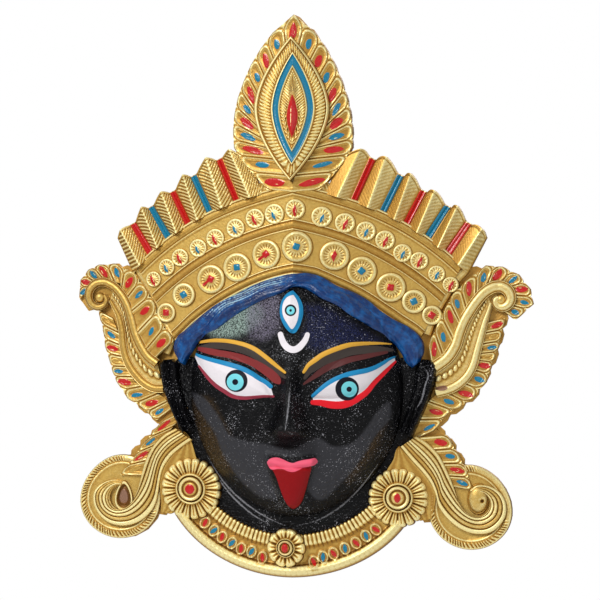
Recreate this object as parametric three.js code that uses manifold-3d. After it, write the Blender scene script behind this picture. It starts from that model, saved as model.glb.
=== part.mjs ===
// A wall mask of a crowned goddess, cast in one piece as a folded shell that is hollow behind the face.
// Millimetres, +Z up, the face looks along -Y and the wall is the plane y = 0.
// The origin is the centre of the flat rear end of the hanging lug, where the mask meets the wall.
import * as THREE from 'three'
import { mergeVertices } from 'three/addons/utils/BufferGeometryUtils.js'
import Module from 'manifold-3d'

const wasm = await Module()
wasm.setup()

// Driving dimensions, in millimetres.
const HEIGHT = 254
const PLATE = 4.5 // thickness of the cast shell
const CROWN_LEVEL = 6 // front of the crown's ground over the back of the shell
const SINK = 1.5 // how far a raised form is rooted in the plate under it
const STEP_BACK = 0.8 // how far the backs of the scrolls, flutes and finial are set forward of the crown's
const CAVITY_WALL = 4.5 // metal over the hollow behind the face
const LUG_THICK = 8
const LUG_TALL = 20
const LUG_HOLE = 9 // width and height of the eye in the hanging lug
const LUG_REAR_WALL = 4 // metal between the eye and the wall
const LUG_UP = 160 // height of the lug's middle over the foot of the mask

// The carving is set out in thousandths of the height, across from the middle and up from the foot.
const M = HEIGHT / 1000

// Each side of the shell is folded from planes: how far its back stands off the wall.
const FOLDS = [
  { out: 94, across: 0.2655, up: 0 }, // the crown
  { out: 40, across: 0.16, up: 0.108 }, // below the brow
  { out: 140, across: 0.2655, up: -0.062 }, // the finial, which leans back
]
const SWAY_TOP = 300 // below this the casting is turned a little, as in the photograph
const SWAY_RUN = 100
const SWAY = THREE.MathUtils.degToRad(2.2)

const { lerp, clamp, smoothstep, degToRad } = THREE.MathUtils
const round = (u) => 1 - (2 * u - 1) ** 2

function bow(x, z) {
  return Math.max(0, Math.min(...FOLDS.map((fold) => fold.out + fold.up * z - fold.across * Math.abs(x))))
}

// The part below the jaw is turned clockwise about the middle of the jaw.
function sway(x, z) {
  const turn = SWAY * smoothstep(SWAY_TOP - z, 0, SWAY_RUN)
  const below = z - SWAY_TOP
  return [x * Math.cos(turn) + below * Math.sin(turn), SWAY_TOP - x * Math.sin(turn) + below * Math.cos(turn)]
}

// The model's point at a place on the carving, so many millimetres forward of the shell's back.
function put(x, z, forward) {
  const [sx, sz] = sway(x, z)
  return new THREE.Vector3(sx * M, -(bow(x, z) * M + forward), sz * M)
}

// A closed mesh as a solid, turned right side out.
function solid(geometry) {
  const bare = new THREE.BufferGeometry()
  bare.setAttribute('position', geometry.getAttribute('position').clone())
  bare.setIndex(geometry.index)
  const merged = mergeVertices(bare, 1e-4)
  const triVerts = new Uint32Array(merged.index.array)
  const vertProperties = merged.attributes.position.array
  const make = () => new wasm.Manifold(new wasm.Mesh({ numProp: 3, vertProperties, triVerts }))
  const made = make()
  if (made.volume() > 0) return made
  for (let i = 0; i < triVerts.length; i += 3) {
    const first = triVerts[i]
    triVerts[i] = triVerts[i + 1]
    triVerts[i + 1] = first
  }
  return make()
}

// Moves every vertex of a geometry by a function of its place.
function shaped(geometry, move) {
  const p = geometry.attributes.position
  for (let i = 0; i < p.count; i += 1) {
    const to = move(p.getX(i), p.getY(i), p.getZ(i))
    p.setXYZ(i, to.x, to.y, to.z)
  }
  return solid(geometry)
}

// A block on a grid: place(u, v) gives [x, z, front] and the back is a number of millimetres.
function slab(across, along, back, place) {
  return shaped(new THREE.BoxGeometry(1, 1, 1, across, along, 1), (bx, by, bz) => {
    const [x, z, front] = place(bx + 0.5, by + 0.5)
    return put(x, z, bz > 0 ? front : back)
  })
}

// A round form: rings are [share of the radius, front], and place(share, angle) gives [x, z].
function boss(spokes, rings, back, place, front = (level) => level) {
  const profile = rings.map(([share], i) => new THREE.Vector2(share, rings.length - i))
  profile.push(new THREE.Vector2(rings.at(-1)[0], 0), new THREE.Vector2(0, 0))
  return shaped(new THREE.LatheGeometry(profile, spokes), (lx, ly, lz) => {
    const [x, z] = place(Math.hypot(lx, lz), Math.atan2(lx, lz))
    if (ly < 0.5) return put(x, z, back)
    return put(x, z, front(rings[rings.length - Math.round(ly)][1], x, z))
  })
}

const disc = (x0, z0, radius) => (share, angle) =>
  [x0 + radius * share * Math.sin(angle), z0 + radius * share * Math.cos(angle)]

// A smooth line through [x, z] points, which gives a place and the way along.
function line(points) {
  const curve = new THREE.CatmullRomCurve3(points.map(([x, z]) => new THREE.Vector3(x, z, 0)), false, 'chordal')
  return (v) => {
    const at = curve.getPointAt(clamp(v, 0, 1))
    const way = curve.getTangentAt(clamp(v, 0, 1))
    return { x: at.x, z: at.y, wayX: way.x, wayZ: way.y }
  }
}

// A strip of given width along a line: profile(u, v) gives the front.
function ribbon(across, along, back, points, width, profile) {
  const path = line(points)
  return slab(across, along, back, (u, v) => {
    const { x, z, wayX, wayZ } = path(v)
    const off = (u - 0.5) * width(v)
    return [x - wayZ * off, z + wayX * off, profile(u, v)]
  })
}

// The edge of a row of rounded lobes. Each lobe has a root and a tip, as [x, z], and a notch to its neighbour.
const NOTCH = 5 // depth of the notch between two lobes, in thousandths

// The place between the points of a list, which runs on past both ends.
function between(points, at) {
  const i = clamp(Math.floor(at), 0, points.length - 2)
  return [0, 1].map((k) => lerp(points[i][k], points[i + 1][k], at - i))
}

function scalloped(roots, tips) {
  const edgeAt = (at, cut) => {
    const [tip, root] = [between(tips, at), between(roots, at)]
    const reach = 1 - cut / Math.hypot(tip[0] - root[0], tip[1] - root[1])
    return [lerp(root[0], tip[0], reach), lerp(root[1], tip[1], reach)]
  }
  const edge = tips.flatMap((_, i) => [edgeAt(i - 0.5, NOTCH), edgeAt(i - 0.22, 0), edgeAt(i + 0.22, 0)])
  return [...edge, edgeAt(tips.length - 0.5, NOTCH)]
}

// A flat plate of any outline.
function plate(points, back, front) {
  const shape = new THREE.Shape(points.map(([x, z]) => new THREE.Vector2(x, z)))
  const sheet = new THREE.ExtrudeGeometry(shape, { depth: 1, bevelEnabled: false })
  return shaped(sheet, (x, z, step) => put(x, z, step > 0.5 ? front : back))
}

// The two sides aren't quite alike: one reaches out a little less, or more, than the other.
const SKEW_FROM = 250
const FLUTE_SKEW = { 1: 0.01, '-1': -0.05 }
const SCROLL_SKEW = { 1: 0.045, '-1': 0 }
// The head of one scroll is this much higher than the middle, and the other lower.
const SCROLL_DROP = { by: 4, from: 290, run: 80 }
const uneven = (x, side, skew) => x + Math.max(0, x - SKEW_FROM) * skew[side]

const both = (make) => [1, -1].flatMap((side) => make(side))
const sided = (points, side, skew = { 1: 0, '-1': 0 }) => points.map(([x, z]) => [side * uneven(x, side, skew), z])

// The crown's bands run between two pointed arches: band 0 is the upper edge, band 1 the lower one.
const CROWN = { peak: 701, fall: 159, end: 292, taper: 74 }

function arch(x, band) {
  const a = Math.abs(x)
  const upper = 0.247 * a + 2.9e-6 * a ** 3
  const lower = 0.122 * a + 0.0018 * a ** 2
  return CROWN.peak - CROWN.fall * band - lerp(upper, lower, band)
}

// Rows across the crown, as [band, rise]: three rounded mouldings with plain grounds between them.
const CROWN_ROWS = [[-0.01, 0.6], [0.055, 2.2], [0.12, 0], [0.385, 0], [0.45, 2.2], [0.51, 0], [0.86, 0],
  [0.93, 2.2], [1.01, 0]]

function crownBands() {
  return slab(16, CROWN_ROWS.length - 1, 0, (u, v) => {
    const [band, rise] = CROWN_ROWS[Math.round((1 - v) * (CROWN_ROWS.length - 1))]
    const x = (2 * u - 1) * (CROWN.end - CROWN.taper * band)
    return [x, arch(x, band), CROWN_LEVEL + rise]
  })
}

// Two rows of rosettes, whose pitch shortens towards the ends.
const SMALL_ROW = { band: 0.277, count: 8, pitch: 42, ratio: 0.93, radius: 17.5, shrink: 0.965, spokes: 6,
  rings: [[0, 2.8], [0.72, 2.2], [1, 0]] }
const LARGE_ROW = { band: 0.693, count: 5, pitch: 58, ratio: 0.905, radius: 27, shrink: 0.93, spokes: 8,
  rings: [[0, 3.2], [0.36, 1.2], [0.78, 2.4], [1, 0]] }

function rosetteRow({ band, count, pitch, ratio, radius, shrink, spokes, rings }) {
  const levels = rings.map(([share, rise]) => [share, CROWN_LEVEL + rise])
  const made = []
  for (let i = 0, x = 0; i <= count; x += pitch * ratio ** i, i += 1) {
    for (const side of x ? [1, -1] : [1]) {
      made.push(boss(spokes, levels, CROWN_LEVEL - SINK, disc(side * x, arch(x, band), radius * shrink ** i)))
    }
  }
  return made
}

// Ridged flutes stand along the crown's upper edge and lean outwards, with a narrow flat strip between each two.
const FLUTE_TIPS = [[118, 763], [161, 749], [204, 719], [245, 689], [284, 662], [326, 621]]
const STRIP_TOPS = [[137, 746], [185.5, 717], [225, 689], [267, 662], [303, 632]]
const STRIP_FEET = [[105, 678], [155, 654], [196, 632], [233, 604], [268, 582]]
const FLUTE = { first: [[56, 684], [84, 744]], last: [[303, 560], [333, 606]], strip: 5, ridge: 5.5, fall: 1.5,
  valley: 1, root: 3 }

function flutes(side) {
  const columns = [[...FLUTE.first, FLUTE.valley]]
  FLUTE_TIPS.forEach((tip, i) => {
    const before = columns.at(-1)[0]
    const [foot, top] = i < STRIP_FEET.length ? [STRIP_FEET[i], STRIP_TOPS[i]] : FLUTE.last
    const middle = (before[0] + foot[0]) / 2
    columns.push([[middle, arch(middle, 0)], tip, FLUTE.ridge])
    if (i < STRIP_FEET.length) {
      for (const off of [-FLUTE.strip, FLUTE.strip]) {
        columns.push([[foot[0] + off, foot[1] - off / 2], [top[0] + off, top[1] - off / 2], FLUTE.valley])
      }
    } else columns.push([foot, top, FLUTE.valley])
  })
  return [slab(columns.length - 1, 1, STEP_BACK, (u, v) => {
    const [foot, top, rise] = columns[Math.round(u * (columns.length - 1))]
    const base = [foot[0] - 2, arch(foot[0], 0) - FLUTE.root]
    const x = uneven(lerp(base[0], top[0], v), side, FLUTE_SKEW)
    return [side * x, lerp(base[1], top[1], v), PLATE + rise - (rise === FLUTE.ridge ? FLUTE.fall * v : 0)]
  })]
}

// The finial is a pointed leaf: a border of lobes stands round three nested lenses.
const LENS = { middle: 833.5, tall: 130, wide: 66 }
const FINIAL_TIPS = [[62, 706], [90, 738], [106, 765], [107, 795], [104, 825], [98, 853], [88, 882], [75, 912],
  [58, 941], [38, 968]]
const FINIAL_ROOTS = [[20, 700], [25, 725], [30, 750], [38, 780], [42, 806], [42, 834], [40, 860], [34, 885],
  [26, 908], [14, 928]]
const FINIAL_TIP = [[8, 996], [0, 1000]]
const FINIAL_SWELL = { by: -5, from: 703.5, run: 290 } // the leaf swells this much to one side
const FINIAL_FOOT = { wide: 76, neck: 50, low: 672, peak: 690, top: 724, front: 5.5 }
const LENS_RINGS = [[0, 11.5], [0.26, 9.6], [0.42, 9.6], [0.5, 11], [0.64, 10.6], [0.7, 9], [0.76, 10.6], [1, 8.6]]
const FINIAL_LEVEL = 7
const leaf = (share) => 1 - Math.abs(share) ** 1.75

function finial() {
  const half = [...scalloped(FINIAL_ROOTS, FINIAL_TIPS), ...FINIAL_TIP]
  const outline = [...half, ...half.slice(0, -1).reverse().map(([x, z]) => [-x, z])]
  const swell = (z) => FINIAL_SWELL.by * Math.sin(Math.PI * clamp((z - FINIAL_SWELL.from) / FINIAL_SWELL.run, 0, 1))
  const border = plate(outline.map(([x, z]) => [x + swell(z), z]), STEP_BACK, FINIAL_LEVEL)
  const core = boss(18, LENS_RINGS, SINK, (share, angle) => {
    const up = Math.cos(angle)
    return [LENS.wide * share * leaf(up) * Math.sign(Math.sin(angle)), LENS.middle + LENS.tall * share * up]
  })
  const foot = slab(2, 1, SINK, (u, v) => {
    const low = u === 0.5 ? FINIAL_FOOT.peak : FINIAL_FOOT.low
    return [(2 * u - 1) * lerp(FINIAL_FOOT.wide, FINIAL_FOOT.neck, v), lerp(low, FINIAL_FOOT.top, v), FINIAL_FOOT.front]
  })
  return [border, core, foot]
}

// The face is a dome inside an egg-shaped outline, and reaches up under the crown.
const FACE = { middle: 330, wide: 190, down: 218, up: 200, dome: 15, edge: 5.5, side: 3, crown: 0.62, soft: 60,
  brow: 2.2, jaw: 1.9 } // brow and jaw are how square the outline is above and below

// Radius of the face's outline at an angle from straight up.
function faceRadius(angle) {
  const up = Math.cos(angle)
  const long = up > 0 ? FACE.up : FACE.down
  const power = up > 0 ? FACE.brow : FACE.jaw
  return ((Math.abs(Math.sin(angle)) / FACE.wide) ** power + (Math.abs(up) / long) ** power) ** (-1 / power)
}

// Height of the dome over the shell's back, in millimetres. It rounds off the fold of the shell under it.
function faceHeight(x, z) {
  const angle = Math.atan2(x, z - FACE.middle)
  const share = clamp(Math.hypot(x, z - FACE.middle) / faceRadius(angle), 0, 1)
  const ease = FOLDS[1].across * M * (Math.hypot(x, FACE.soft) - Math.abs(x))
  return FACE.edge + (FACE.dome - ease) * (1 - share ** FACE.side) ** FACE.crown
}

const faceAt = (share, angle) => disc(0, FACE.middle, faceRadius(angle))(share, angle)
const FACE_RINGS = [0, 0.32, 0.6, 0.82, 0.94, 1]

function faceDome() {
  return boss(28, FACE_RINGS.map((share) => [share, 0]), 0, faceAt, (_, x, z) => faceHeight(x, z))
}

// What is cut away behind the face, from the wall to the inside of the shell.
const CAVITY_RINGS = [0, 0.45, 0.8, 1]
const CAVITY_EDGE = 16 // distance from the face's outline to the hollow, in thousandths

function cavity() {
  const inner = 1 - CAVITY_EDGE / FACE.wide
  return boss(20, CAVITY_RINGS.map((share) => [share, 0]), -FOLDS[0].out * M - 1,
    (share, angle) => faceAt(share * inner, angle), (_, x, z) => faceHeight(x, z) - CAVITY_WALL)
}

// Features of the face. Each stands on the dome, and its edge is set into it.
const FEATURE_BACK = PLATE - SINK
const SET_IN = 0.4
const NOSE = { top: 352, tip: 262, wing: 28, rise: 14, bridge: 0.35, hang: 12, flank: 0.62 }
const NOSE_ROWS = [[0, 0.35], [0.2, 1], [0.6, 0.55], [1, 0]] // share of the height, share of the rise
const EYE = { x: 106, z: 362, long: 80, tall: 29, tilt: 27, rise: 3 }
const THIRD_EYE = { z: 475, wide: 21, tall: 38, rise: 2 }
const LIPS = { z: 202, wide: 46, tall: 22, corner: 10, rise: 4 }
const TONGUE = { top: 200, tip: 124, wide: 40, point: 13, rise: 5, corner: 7, edge: 0.45 }
const onFace = (x, z, rise) => [x, z, faceHeight(x, z) + rise]

function nose() {
  return slab(4, NOSE_ROWS.length - 1, FEATURE_BACK, (u, v) => {
    const [up, rise] = NOSE_ROWS[Math.round(v * (NOSE_ROWS.length - 1))]
    const out = Math.abs(2 * u - 1)
    const z = lerp(NOSE.tip - NOSE.hang * (1 - out) * (1 - up), NOSE.top, up)
    const front = out === 1 ? -SET_IN : (out > 0 ? NOSE.flank : 1) * rise * NOSE.rise
    return onFace((2 * u - 1) * NOSE.wing * lerp(1, NOSE.bridge, up), z, front)
  })
}

function eye(x0, z0, long, tall, tilt, rise) {
  const [along, up] = [Math.cos(degToRad(tilt)), Math.sin(degToRad(tilt))]
  return boss(12, [[0, rise], [0.66, rise * 0.8], [1, -1]], FEATURE_BACK, (share, angle) => {
    const a = long * share * Math.sin(angle)
    const b = tall * share * leaf(Math.sin(angle)) * Math.sign(Math.cos(angle))
    return [x0 + a * along - b * up, z0 + a * up + b * along]
  }, (level, x, z) => faceHeight(x, z) + level)
}

function mouth() {
  const lips = slab(4, 2, FEATURE_BACK, (u, v) => {
    const out = Math.abs(2 * u - 1)
    const z = LIPS.z + LIPS.corner * out + (v - 0.5) * LIPS.tall * (1 - 0.5 * out)
    return onFace((2 * u - 1) * LIPS.wide, z, LIPS.rise * round(v) * (1 - out ** 2) + 0.3)
  })
  const tongue = slab(2, 2, FEATURE_BACK, (u, v) => {
    const half = lerp(TONGUE.wide, TONGUE.point, v ** 1.3)
    const z = lerp(TONGUE.top, TONGUE.tip + (u === 0.5 ? 0 : TONGUE.corner), v)
    return onFace((2 * u - 1) * half, z, TONGUE.rise * (u === 0.5 ? 1 : TONGUE.edge) * (1 - 0.4 * v))
  })
  return [lips, tongue]
}

function features() {
  const eyes = both((side) => eye(side * EYE.x, EYE.z, EYE.long, EYE.tall, side * EYE.tilt, EYE.rise))
  return [nose(), ...eyes, eye(0, THIRD_EYE.z, THIRD_EYE.tall, THIRD_EYE.wide, 90, THIRD_EYE.rise), ...mouth()]
}

// A rolled band of hair follows the crown's lower edge and ends in a point before each ear.
const HAIR = { reach: 213, tall: 27, rise: 3.5, end: 0.85, drop: 40 }

function hairBand() {
  return slab(14, 2, SINK, (u, v) => {
    const out = Math.abs(2 * u - 1)
    const x = (2 * u - 1) * HAIR.reach
    const fall = HAIR.drop * clamp((out - HAIR.end) / (1 - HAIR.end), 0, 1)
    const z = arch(x, 1) + 3 - (1 - v) * (HAIR.tall + fall)
    return [x, z, Math.max(faceHeight(x, z), CROWN_LEVEL) + HAIR.rise * (0.2 + 0.8 * round(v))]
  })
}

const EAR_LINE = [[226, 390], [222, 350], [208, 305], [190, 262]]
const EAR = { wide: 36, lobe: 26, rise: 6 }

function ear(side) {
  return [ribbon(2, 4, SINK, sided(EAR_LINE, side), (v) => lerp(EAR.wide, EAR.lobe, v),
    (u) => PLATE + EAR.rise * (0.2 + 0.8 * round(u)))]
}

// The plate between the face, the ears, the rosettes and the collar: half widths at heights.
const GROUND_ROWS = [[70, 44], [172, 92], [212, 180], [212, 260], [232, 330], [238, 410], [212, 476]]

function groundPlate() {
  return slab(2, GROUND_ROWS.length - 1, 0, (u, v) => {
    const [half, z] = GROUND_ROWS[Math.round(v * (GROUND_ROWS.length - 1))]
    return [(2 * u - 1) * half, z, PLATE]
  })
}

// Points of a volute from its stem inwards. It turns clockwise for a positive number of turns.
function volute({ x, z, radius, start, turns, shrink }, steps) {
  return Array.from({ length: steps + 1 }, (_, i) => {
    const angle = 2 * Math.PI * (start - turns * i / steps)
    const reach = radius * shrink ** (i / steps)
    return [x + reach * Math.cos(angle), z + reach * Math.sin(angle)]
  })
}

// Upper scrolls: two strands with a hollow channel between them, edged with lobes.
const VOLUTE = { x: 359, z: 494, radius: 32, start: 0.4, turns: 0.95, shrink: 0.2 }
const MAIN_STEM = [[240, 374], [267, 403], [285, 434], [295, 464], [310, 492]]
const OUTER_STEM = [[232, 332], [263, 341], [290, 355], [310, 382], [321, 416], [329, 450], [341, 482]]
const OVER_TIPS = [[400, 498], [400, 521], [385, 540], [362, 553], [334, 560], [306, 556], [268, 544], [244, 512],
  [230, 480], [214, 448], [204, 420]]
const OVER_ROOTS = [[372, 496], [371, 504], [366, 512], [354, 518], [340, 518], [326, 510], [312, 496], [296, 474],
  [288, 448], [276, 424], [254, 396]]
const OUTER_TIPS = [[240, 258], [259, 278], [284, 298], [312, 321], [333, 360], [347, 394], [357, 432], [364, 461]]
const OUTER_ROOTS = [[214, 310], [238, 330], [260, 342], [284, 352], [304, 372], [316, 402], [326, 440], [334, 474]]
const SCROLL_HEAD = [384, 472] // where the two lobed edges meet at the head
const SCROLL_FOOT = [206, 330] // and at the ear
const STRAND = { wide: 20, thin: 13, outer: 16, rise: 4, edge: 0.4 }
const BUTTON = { radius: 10, middle: 3.5, edge: 1, off: 1 }

function upperScroll(side) {
  const crest = (u) => PLATE + STRAND.edge + STRAND.rise * round(u)
  const lobes = [scalloped(OUTER_ROOTS, OUTER_TIPS), scalloped(OVER_ROOTS, OVER_TIPS)]
  const edge = [...lobes[0], SCROLL_HEAD, ...lobes[1], SCROLL_FOOT]
  const drop = (x) => side * SCROLL_DROP.by * clamp((x - SCROLL_DROP.from) / SCROLL_DROP.run, 0, 1)
  const over = (points) => sided(points.map(([x, z]) => [x, z - drop(x)]), side, SCROLL_SKEW)
  return [
    plate(over(edge), STEP_BACK, PLATE),
    ribbon(2, 15, SINK, over([...MAIN_STEM, ...volute(VOLUTE, 9)]), (v) => lerp(STRAND.wide, STRAND.thin, v), crest),
    ribbon(2, 7, SINK, over(OUTER_STEM), () => STRAND.outer, crest),
    boss(6, [[0, PLATE + BUTTON.middle], [1, PLATE + BUTTON.edge]], SINK,
      disc(...over([[VOLUTE.x - BUTTON.off, VOLUTE.z - BUTTON.off]])[0], BUTTON.radius)),
  ]
}

// The lower pair stands a little to one side, and level with each other rather than turned.
const LOW_SHIFT = [-2, 3.5]
const lowSided = (points, side) => points.map(([x, z]) => [side * x + LOW_SHIFT[0], z + side * LOW_SHIFT[1]])

// Lower scrolls: a sheaf of ridges that runs down from the ear and rolls up, inside a broad rim.
const LOW_VOLUTE = { x: 318, z: 144, radius: 56, start: 0.44, turns: -1.1, shrink: 0.2 }
const LOW_STEM = [[196, 272], [220, 250], [240, 222], [252, 192]]
const SHEAF = { ridges: 3, wide: 44, thin: 12, rise: 1.6, groove: 2.2, base: 1, narrowsFrom: 0.26 }
const LOW_BUTTON = { radius: 11, middle: 3, edge: 1 }
const RIM = { x: 314, z: 137, radius: 76, flat: 7, flatAt: 0.9, level: PLATE }
const LOW_TIPS = [[232, 284], [258, 268], [280, 246], [296, 224], [312, 206]]
const LOW_ROOTS = [[206, 262], [226, 248], [244, 226], [256, 204], [280, 180]]
const LOW_NECK = [[300, 170], [270, 110], [232, 106], [186, 190], [176, 270]]

function lowerScroll(side) {
  const [rim, eye] = lowSided([[RIM.x, RIM.z], [LOW_VOLUTE.x, LOW_VOLUTE.z]], side)
  return [
    ribbon(2 * SHEAF.ridges, 16, SINK, lowSided([...LOW_STEM, ...volute(LOW_VOLUTE, 10)], side),
      (v) => lerp(SHEAF.wide, SHEAF.thin, clamp((v - SHEAF.narrowsFrom) / (1 - SHEAF.narrowsFrom), 0, 1)),
      (u) => PLATE + SHEAF.base + SHEAF.rise * round(u) + (Math.round(u * 2 * SHEAF.ridges) % 2 ? SHEAF.groove : 0)),
    boss(18, [[0, RIM.level], [1, RIM.level]], STEP_BACK, (share, angle) => {
      const off = Math.cos(angle - side * RIM.flatAt)
      return disc(...rim, RIM.radius - RIM.flat * Math.max(0, off) ** 3)(share, angle)
    }),
    boss(6, [[0, PLATE + LOW_BUTTON.middle], [1, PLATE + LOW_BUTTON.edge]], SINK, disc(...eye, LOW_BUTTON.radius)),
    plate(lowSided([...LOW_NECK, ...scalloped(LOW_ROOTS, LOW_TIPS)], side), STEP_BACK, PLATE),
  ]
}

// Big rosettes at the jaw and a smaller flower on the collar: scalloped petals round a ringed boss.
const BIG_FLOWER = { x: 184.5, z: 156, radius: 53.5, petals: 16, notch: 0.93 }
const COLLAR_FLOWER = { x: -9, z: 56, radius: 35, petals: 10, notch: 0.92, lift: 1.5 }
const PETAL_RINGS = [[0, 3.4], [0.84, 3.4], [1, 1.6]]
const BOSS_SHARE = 0.42 // of the flower's radius
const BOSS_RINGS = [[0, 6.4], [0.6, 5.8], [1, 2.6]]

function flower({ x, z, radius, petals, notch }, side, level) {
  const step = Math.PI / petals
  const edge = (share, angle) => {
    const valley = share > 0.95 && Math.round(angle / step + 4 * petals) % 2
    return disc(side * x, z, radius * (valley ? notch : 1))(share, angle)
  }
  const over = (rings) => rings.map(([share, rise]) => [share, level + rise])
  return [
    boss(2 * petals, over(PETAL_RINGS), SINK, edge),
    boss(10, over(BOSS_RINGS), level, disc(side * x, z, BOSS_SHARE * radius)),
  ]
}

// The collar is an arc: a fringe inside, a row of set stones, and a plain roll outside.
const COLLAR = { x: -9, middle: 284, taper: 7, end: 0.137 }
const STONES = { radius: 242, tall: 26, wide: 0.0115, pitch: 0.0142, first: 0.034, count: 7, rise: 2.6 }
const COLLAR_ROWS = [[220, 0.8], [257, 0.8], [268, 3.6], [280, 0.4]]
const FRINGE = { inner: 206, notch: 214, outer: 228, teeth: 15, level: 2.4, end: 0.13 }
const collarAt = (radius, turn) => disc(COLLAR.x, COLLAR.middle, radius)(1, 2 * Math.PI * (0.5 - turn))

function collar() {
  const band = slab(14, COLLAR_ROWS.length - 1, 0, (u, v) => {
    const [radius, rise] = COLLAR_ROWS[Math.round(v * (COLLAR_ROWS.length - 1))]
    const end = COLLAR.taper * v * (2 * u - 1) ** 4
    return [...collarAt(radius - end, (2 * u - 1) * COLLAR.end), PLATE + rise]
  })
  const fringe = slab(2 * FRINGE.teeth, 1, SINK, (u, v) => {
    const inner = Math.round(u * 2 * FRINGE.teeth) % 2 ? FRINGE.inner : FRINGE.notch
    return [...collarAt(lerp(inner, FRINGE.outer, v), (2 * u - 1) * FRINGE.end), PLATE + FRINGE.level]
  })
  const stones = both((side) => Array.from({ length: STONES.count }, (_, i) => slab(1, 1, PLATE - SINK, (u, v) =>
    [...collarAt(STONES.radius + (v - 0.5) * STONES.tall,
      side * (STONES.first + STONES.pitch * i) + (u - 0.5) * STONES.wide), PLATE + STONES.rise])))
  return [band, fringe, ...stones]
}

// The hanging lug stands on the back of the crown's fold, and its eye takes a hook or a wire.
function lug() {
  const reach = FOLDS[0].out * M + PLATE / 2
  const middle = LUG_REAR_WALL + LUG_HOLE / 2
  const post = new THREE.BoxGeometry(LUG_THICK, reach, LUG_TALL).translate(0, -reach / 2, LUG_UP)
  const eyelet = new THREE.BoxGeometry(3 * LUG_THICK, LUG_HOLE, LUG_HOLE).translate(0, -middle, LUG_UP)
  return solid(post).subtract(solid(eyelet))
}

const raised = wasm.Manifold.union([
  groundPlate(),
  crownBands(),
  ...rosetteRow(SMALL_ROW),
  ...rosetteRow(LARGE_ROW),
  ...both(flutes),
  ...finial(),
  faceDome(),
  ...features(),
  hairBand(),
  ...both(ear),
  ...both(upperScroll),
  ...both(lowerScroll),
  ...both((side) => flower(BIG_FLOWER, side, PLATE)),
  ...flower(COLLAR_FLOWER, 1, PLATE + COLLAR_FLOWER.lift),
  ...collar(),
])
const casting = raised.subtract(cavity()).add(lug())

const cast = casting.getMesh()
const geometry = new THREE.BufferGeometry()
geometry.setAttribute('position', new THREE.BufferAttribute(new Float32Array(cast.vertProperties), 3))
geometry.setIndex(new THREE.BufferAttribute(new Uint32Array(cast.triVerts), 1))
geometry.computeVertexNormals()

const brass = new THREE.MeshStandardMaterial({ color: 0xc79a3c, roughness: 0.42, metalness: 0.85 })
const mask = new THREE.Mesh(geometry, brass)
mask.name = 'kali_mask'
mask.position.z = -LUG_UP

const part = new THREE.Group()
part.add(mask)

export default part
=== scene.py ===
"""The looks of a cast brass wall mask: a crowned goddess, carved in low relief and painted by hand.

The carving is set out as in the part's source: x across from the middle and z up from the foot, in
thousandths of the height, and rise in millimetres forward of the folded back of the shell.
"""

import logging
import math
from dataclasses import dataclass, field
from enum import Enum
from typing import Callable, ClassVar, Iterable, Sequence

import bmesh
import bpy
import numpy as np
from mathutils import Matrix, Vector

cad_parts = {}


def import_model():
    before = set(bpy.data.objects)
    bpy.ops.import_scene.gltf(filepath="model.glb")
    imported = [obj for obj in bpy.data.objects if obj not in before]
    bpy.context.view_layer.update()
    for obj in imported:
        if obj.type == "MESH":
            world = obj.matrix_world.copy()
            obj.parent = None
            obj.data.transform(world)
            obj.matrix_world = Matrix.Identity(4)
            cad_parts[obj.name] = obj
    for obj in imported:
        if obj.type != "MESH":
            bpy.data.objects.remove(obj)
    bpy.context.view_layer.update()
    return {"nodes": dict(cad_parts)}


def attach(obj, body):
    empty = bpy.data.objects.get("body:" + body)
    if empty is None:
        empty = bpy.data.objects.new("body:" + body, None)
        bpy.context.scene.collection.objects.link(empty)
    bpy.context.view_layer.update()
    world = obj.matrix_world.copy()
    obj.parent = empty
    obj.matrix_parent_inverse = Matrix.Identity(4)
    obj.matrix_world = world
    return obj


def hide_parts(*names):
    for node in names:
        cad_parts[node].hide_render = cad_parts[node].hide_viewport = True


LOG = logging.getLogger("mask")

Field = np.ndarray
Point = tuple[float, float]

NODE = "kali_mask"

# Sizes that the part's source gives, in millimetres.
HEIGHT = 254.0
MIL = HEIGHT / 1000
LUG_UP = 160.0
PLATE = 4.5
CROWN_LEVEL = 6.0
BURIED = 1.9  # how far forward of the shell's back a carved sheet ends, inside the shell
GROUND = 2.9  # front of the shell itself, under the carved sheets
DOT = 1000 / 567  # a dot of the canvas that painted marks are set out on
NONE = -9.0  # signed distance of a point from a mark that isn't there, in millimetres


class Coat(Enum):
    """The float attributes that carry the paint, the wear, the painted shade and highlight, and the tone of a
    carved sheet.
    """

    RED = "red"
    TEAL = "teal"
    # Painted highlight: glints on enamel strokes, lines along ridges, and pale streaks on the hair.
    PALE = "pale"
    # Gilding rubbed through to the brass, and painted shade on the hair band.
    WORN = "worn"
    # Painted shade in grooves and on sheet rims, painted highlight on ridges and edges, and the tone of some
    # parts.
    HOLLOW = "hollow"


class Brush(Enum):
    """The float attributes that carry the painting of the face, and its painted sheen and highlights."""

    UMBER = "umber"
    MAROON = "maroon"
    YELLOW = "yellow"
    WHITE = "white"
    BLUE = "blue"
    CRIMSON = "crimson"
    SCARLET = "scarlet"
    RING = "ring"
    IRIS = "iris"
    PUPIL = "pupil"
    TONGUE = "tongue"
    LIP = "lip"
    MIST = "mist"
    PLUM = "plum"
    OLIVE = "olive"
    ASH = "ash"
    GLEAM = "gleam"
    NAVY = "navy"
    RUSSET = "russet"


class Side(Enum):
    """The two sides of the mask, as its viewer sees them."""

    RIGHT = 1
    LEFT = -1


@dataclass(frozen=True)
class Fold:
    """A plane that the back of the shell is folded from.

    Attributes:
        out: how far it stands off the wall in the middle, at the foot.
        across: how much it falls back towards the sides.
        up: how much it comes forward with height.
    """

    out: float
    across: float
    up: float


FOLDS = (Fold(94, 0.2655, 0), Fold(40, 0.16, 0.108), Fold(140, 0.2655, -0.062))
SWAY_TOP = 300.0
SWAY_RUN = 100.0
SWAY = math.radians(2.2)


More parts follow.
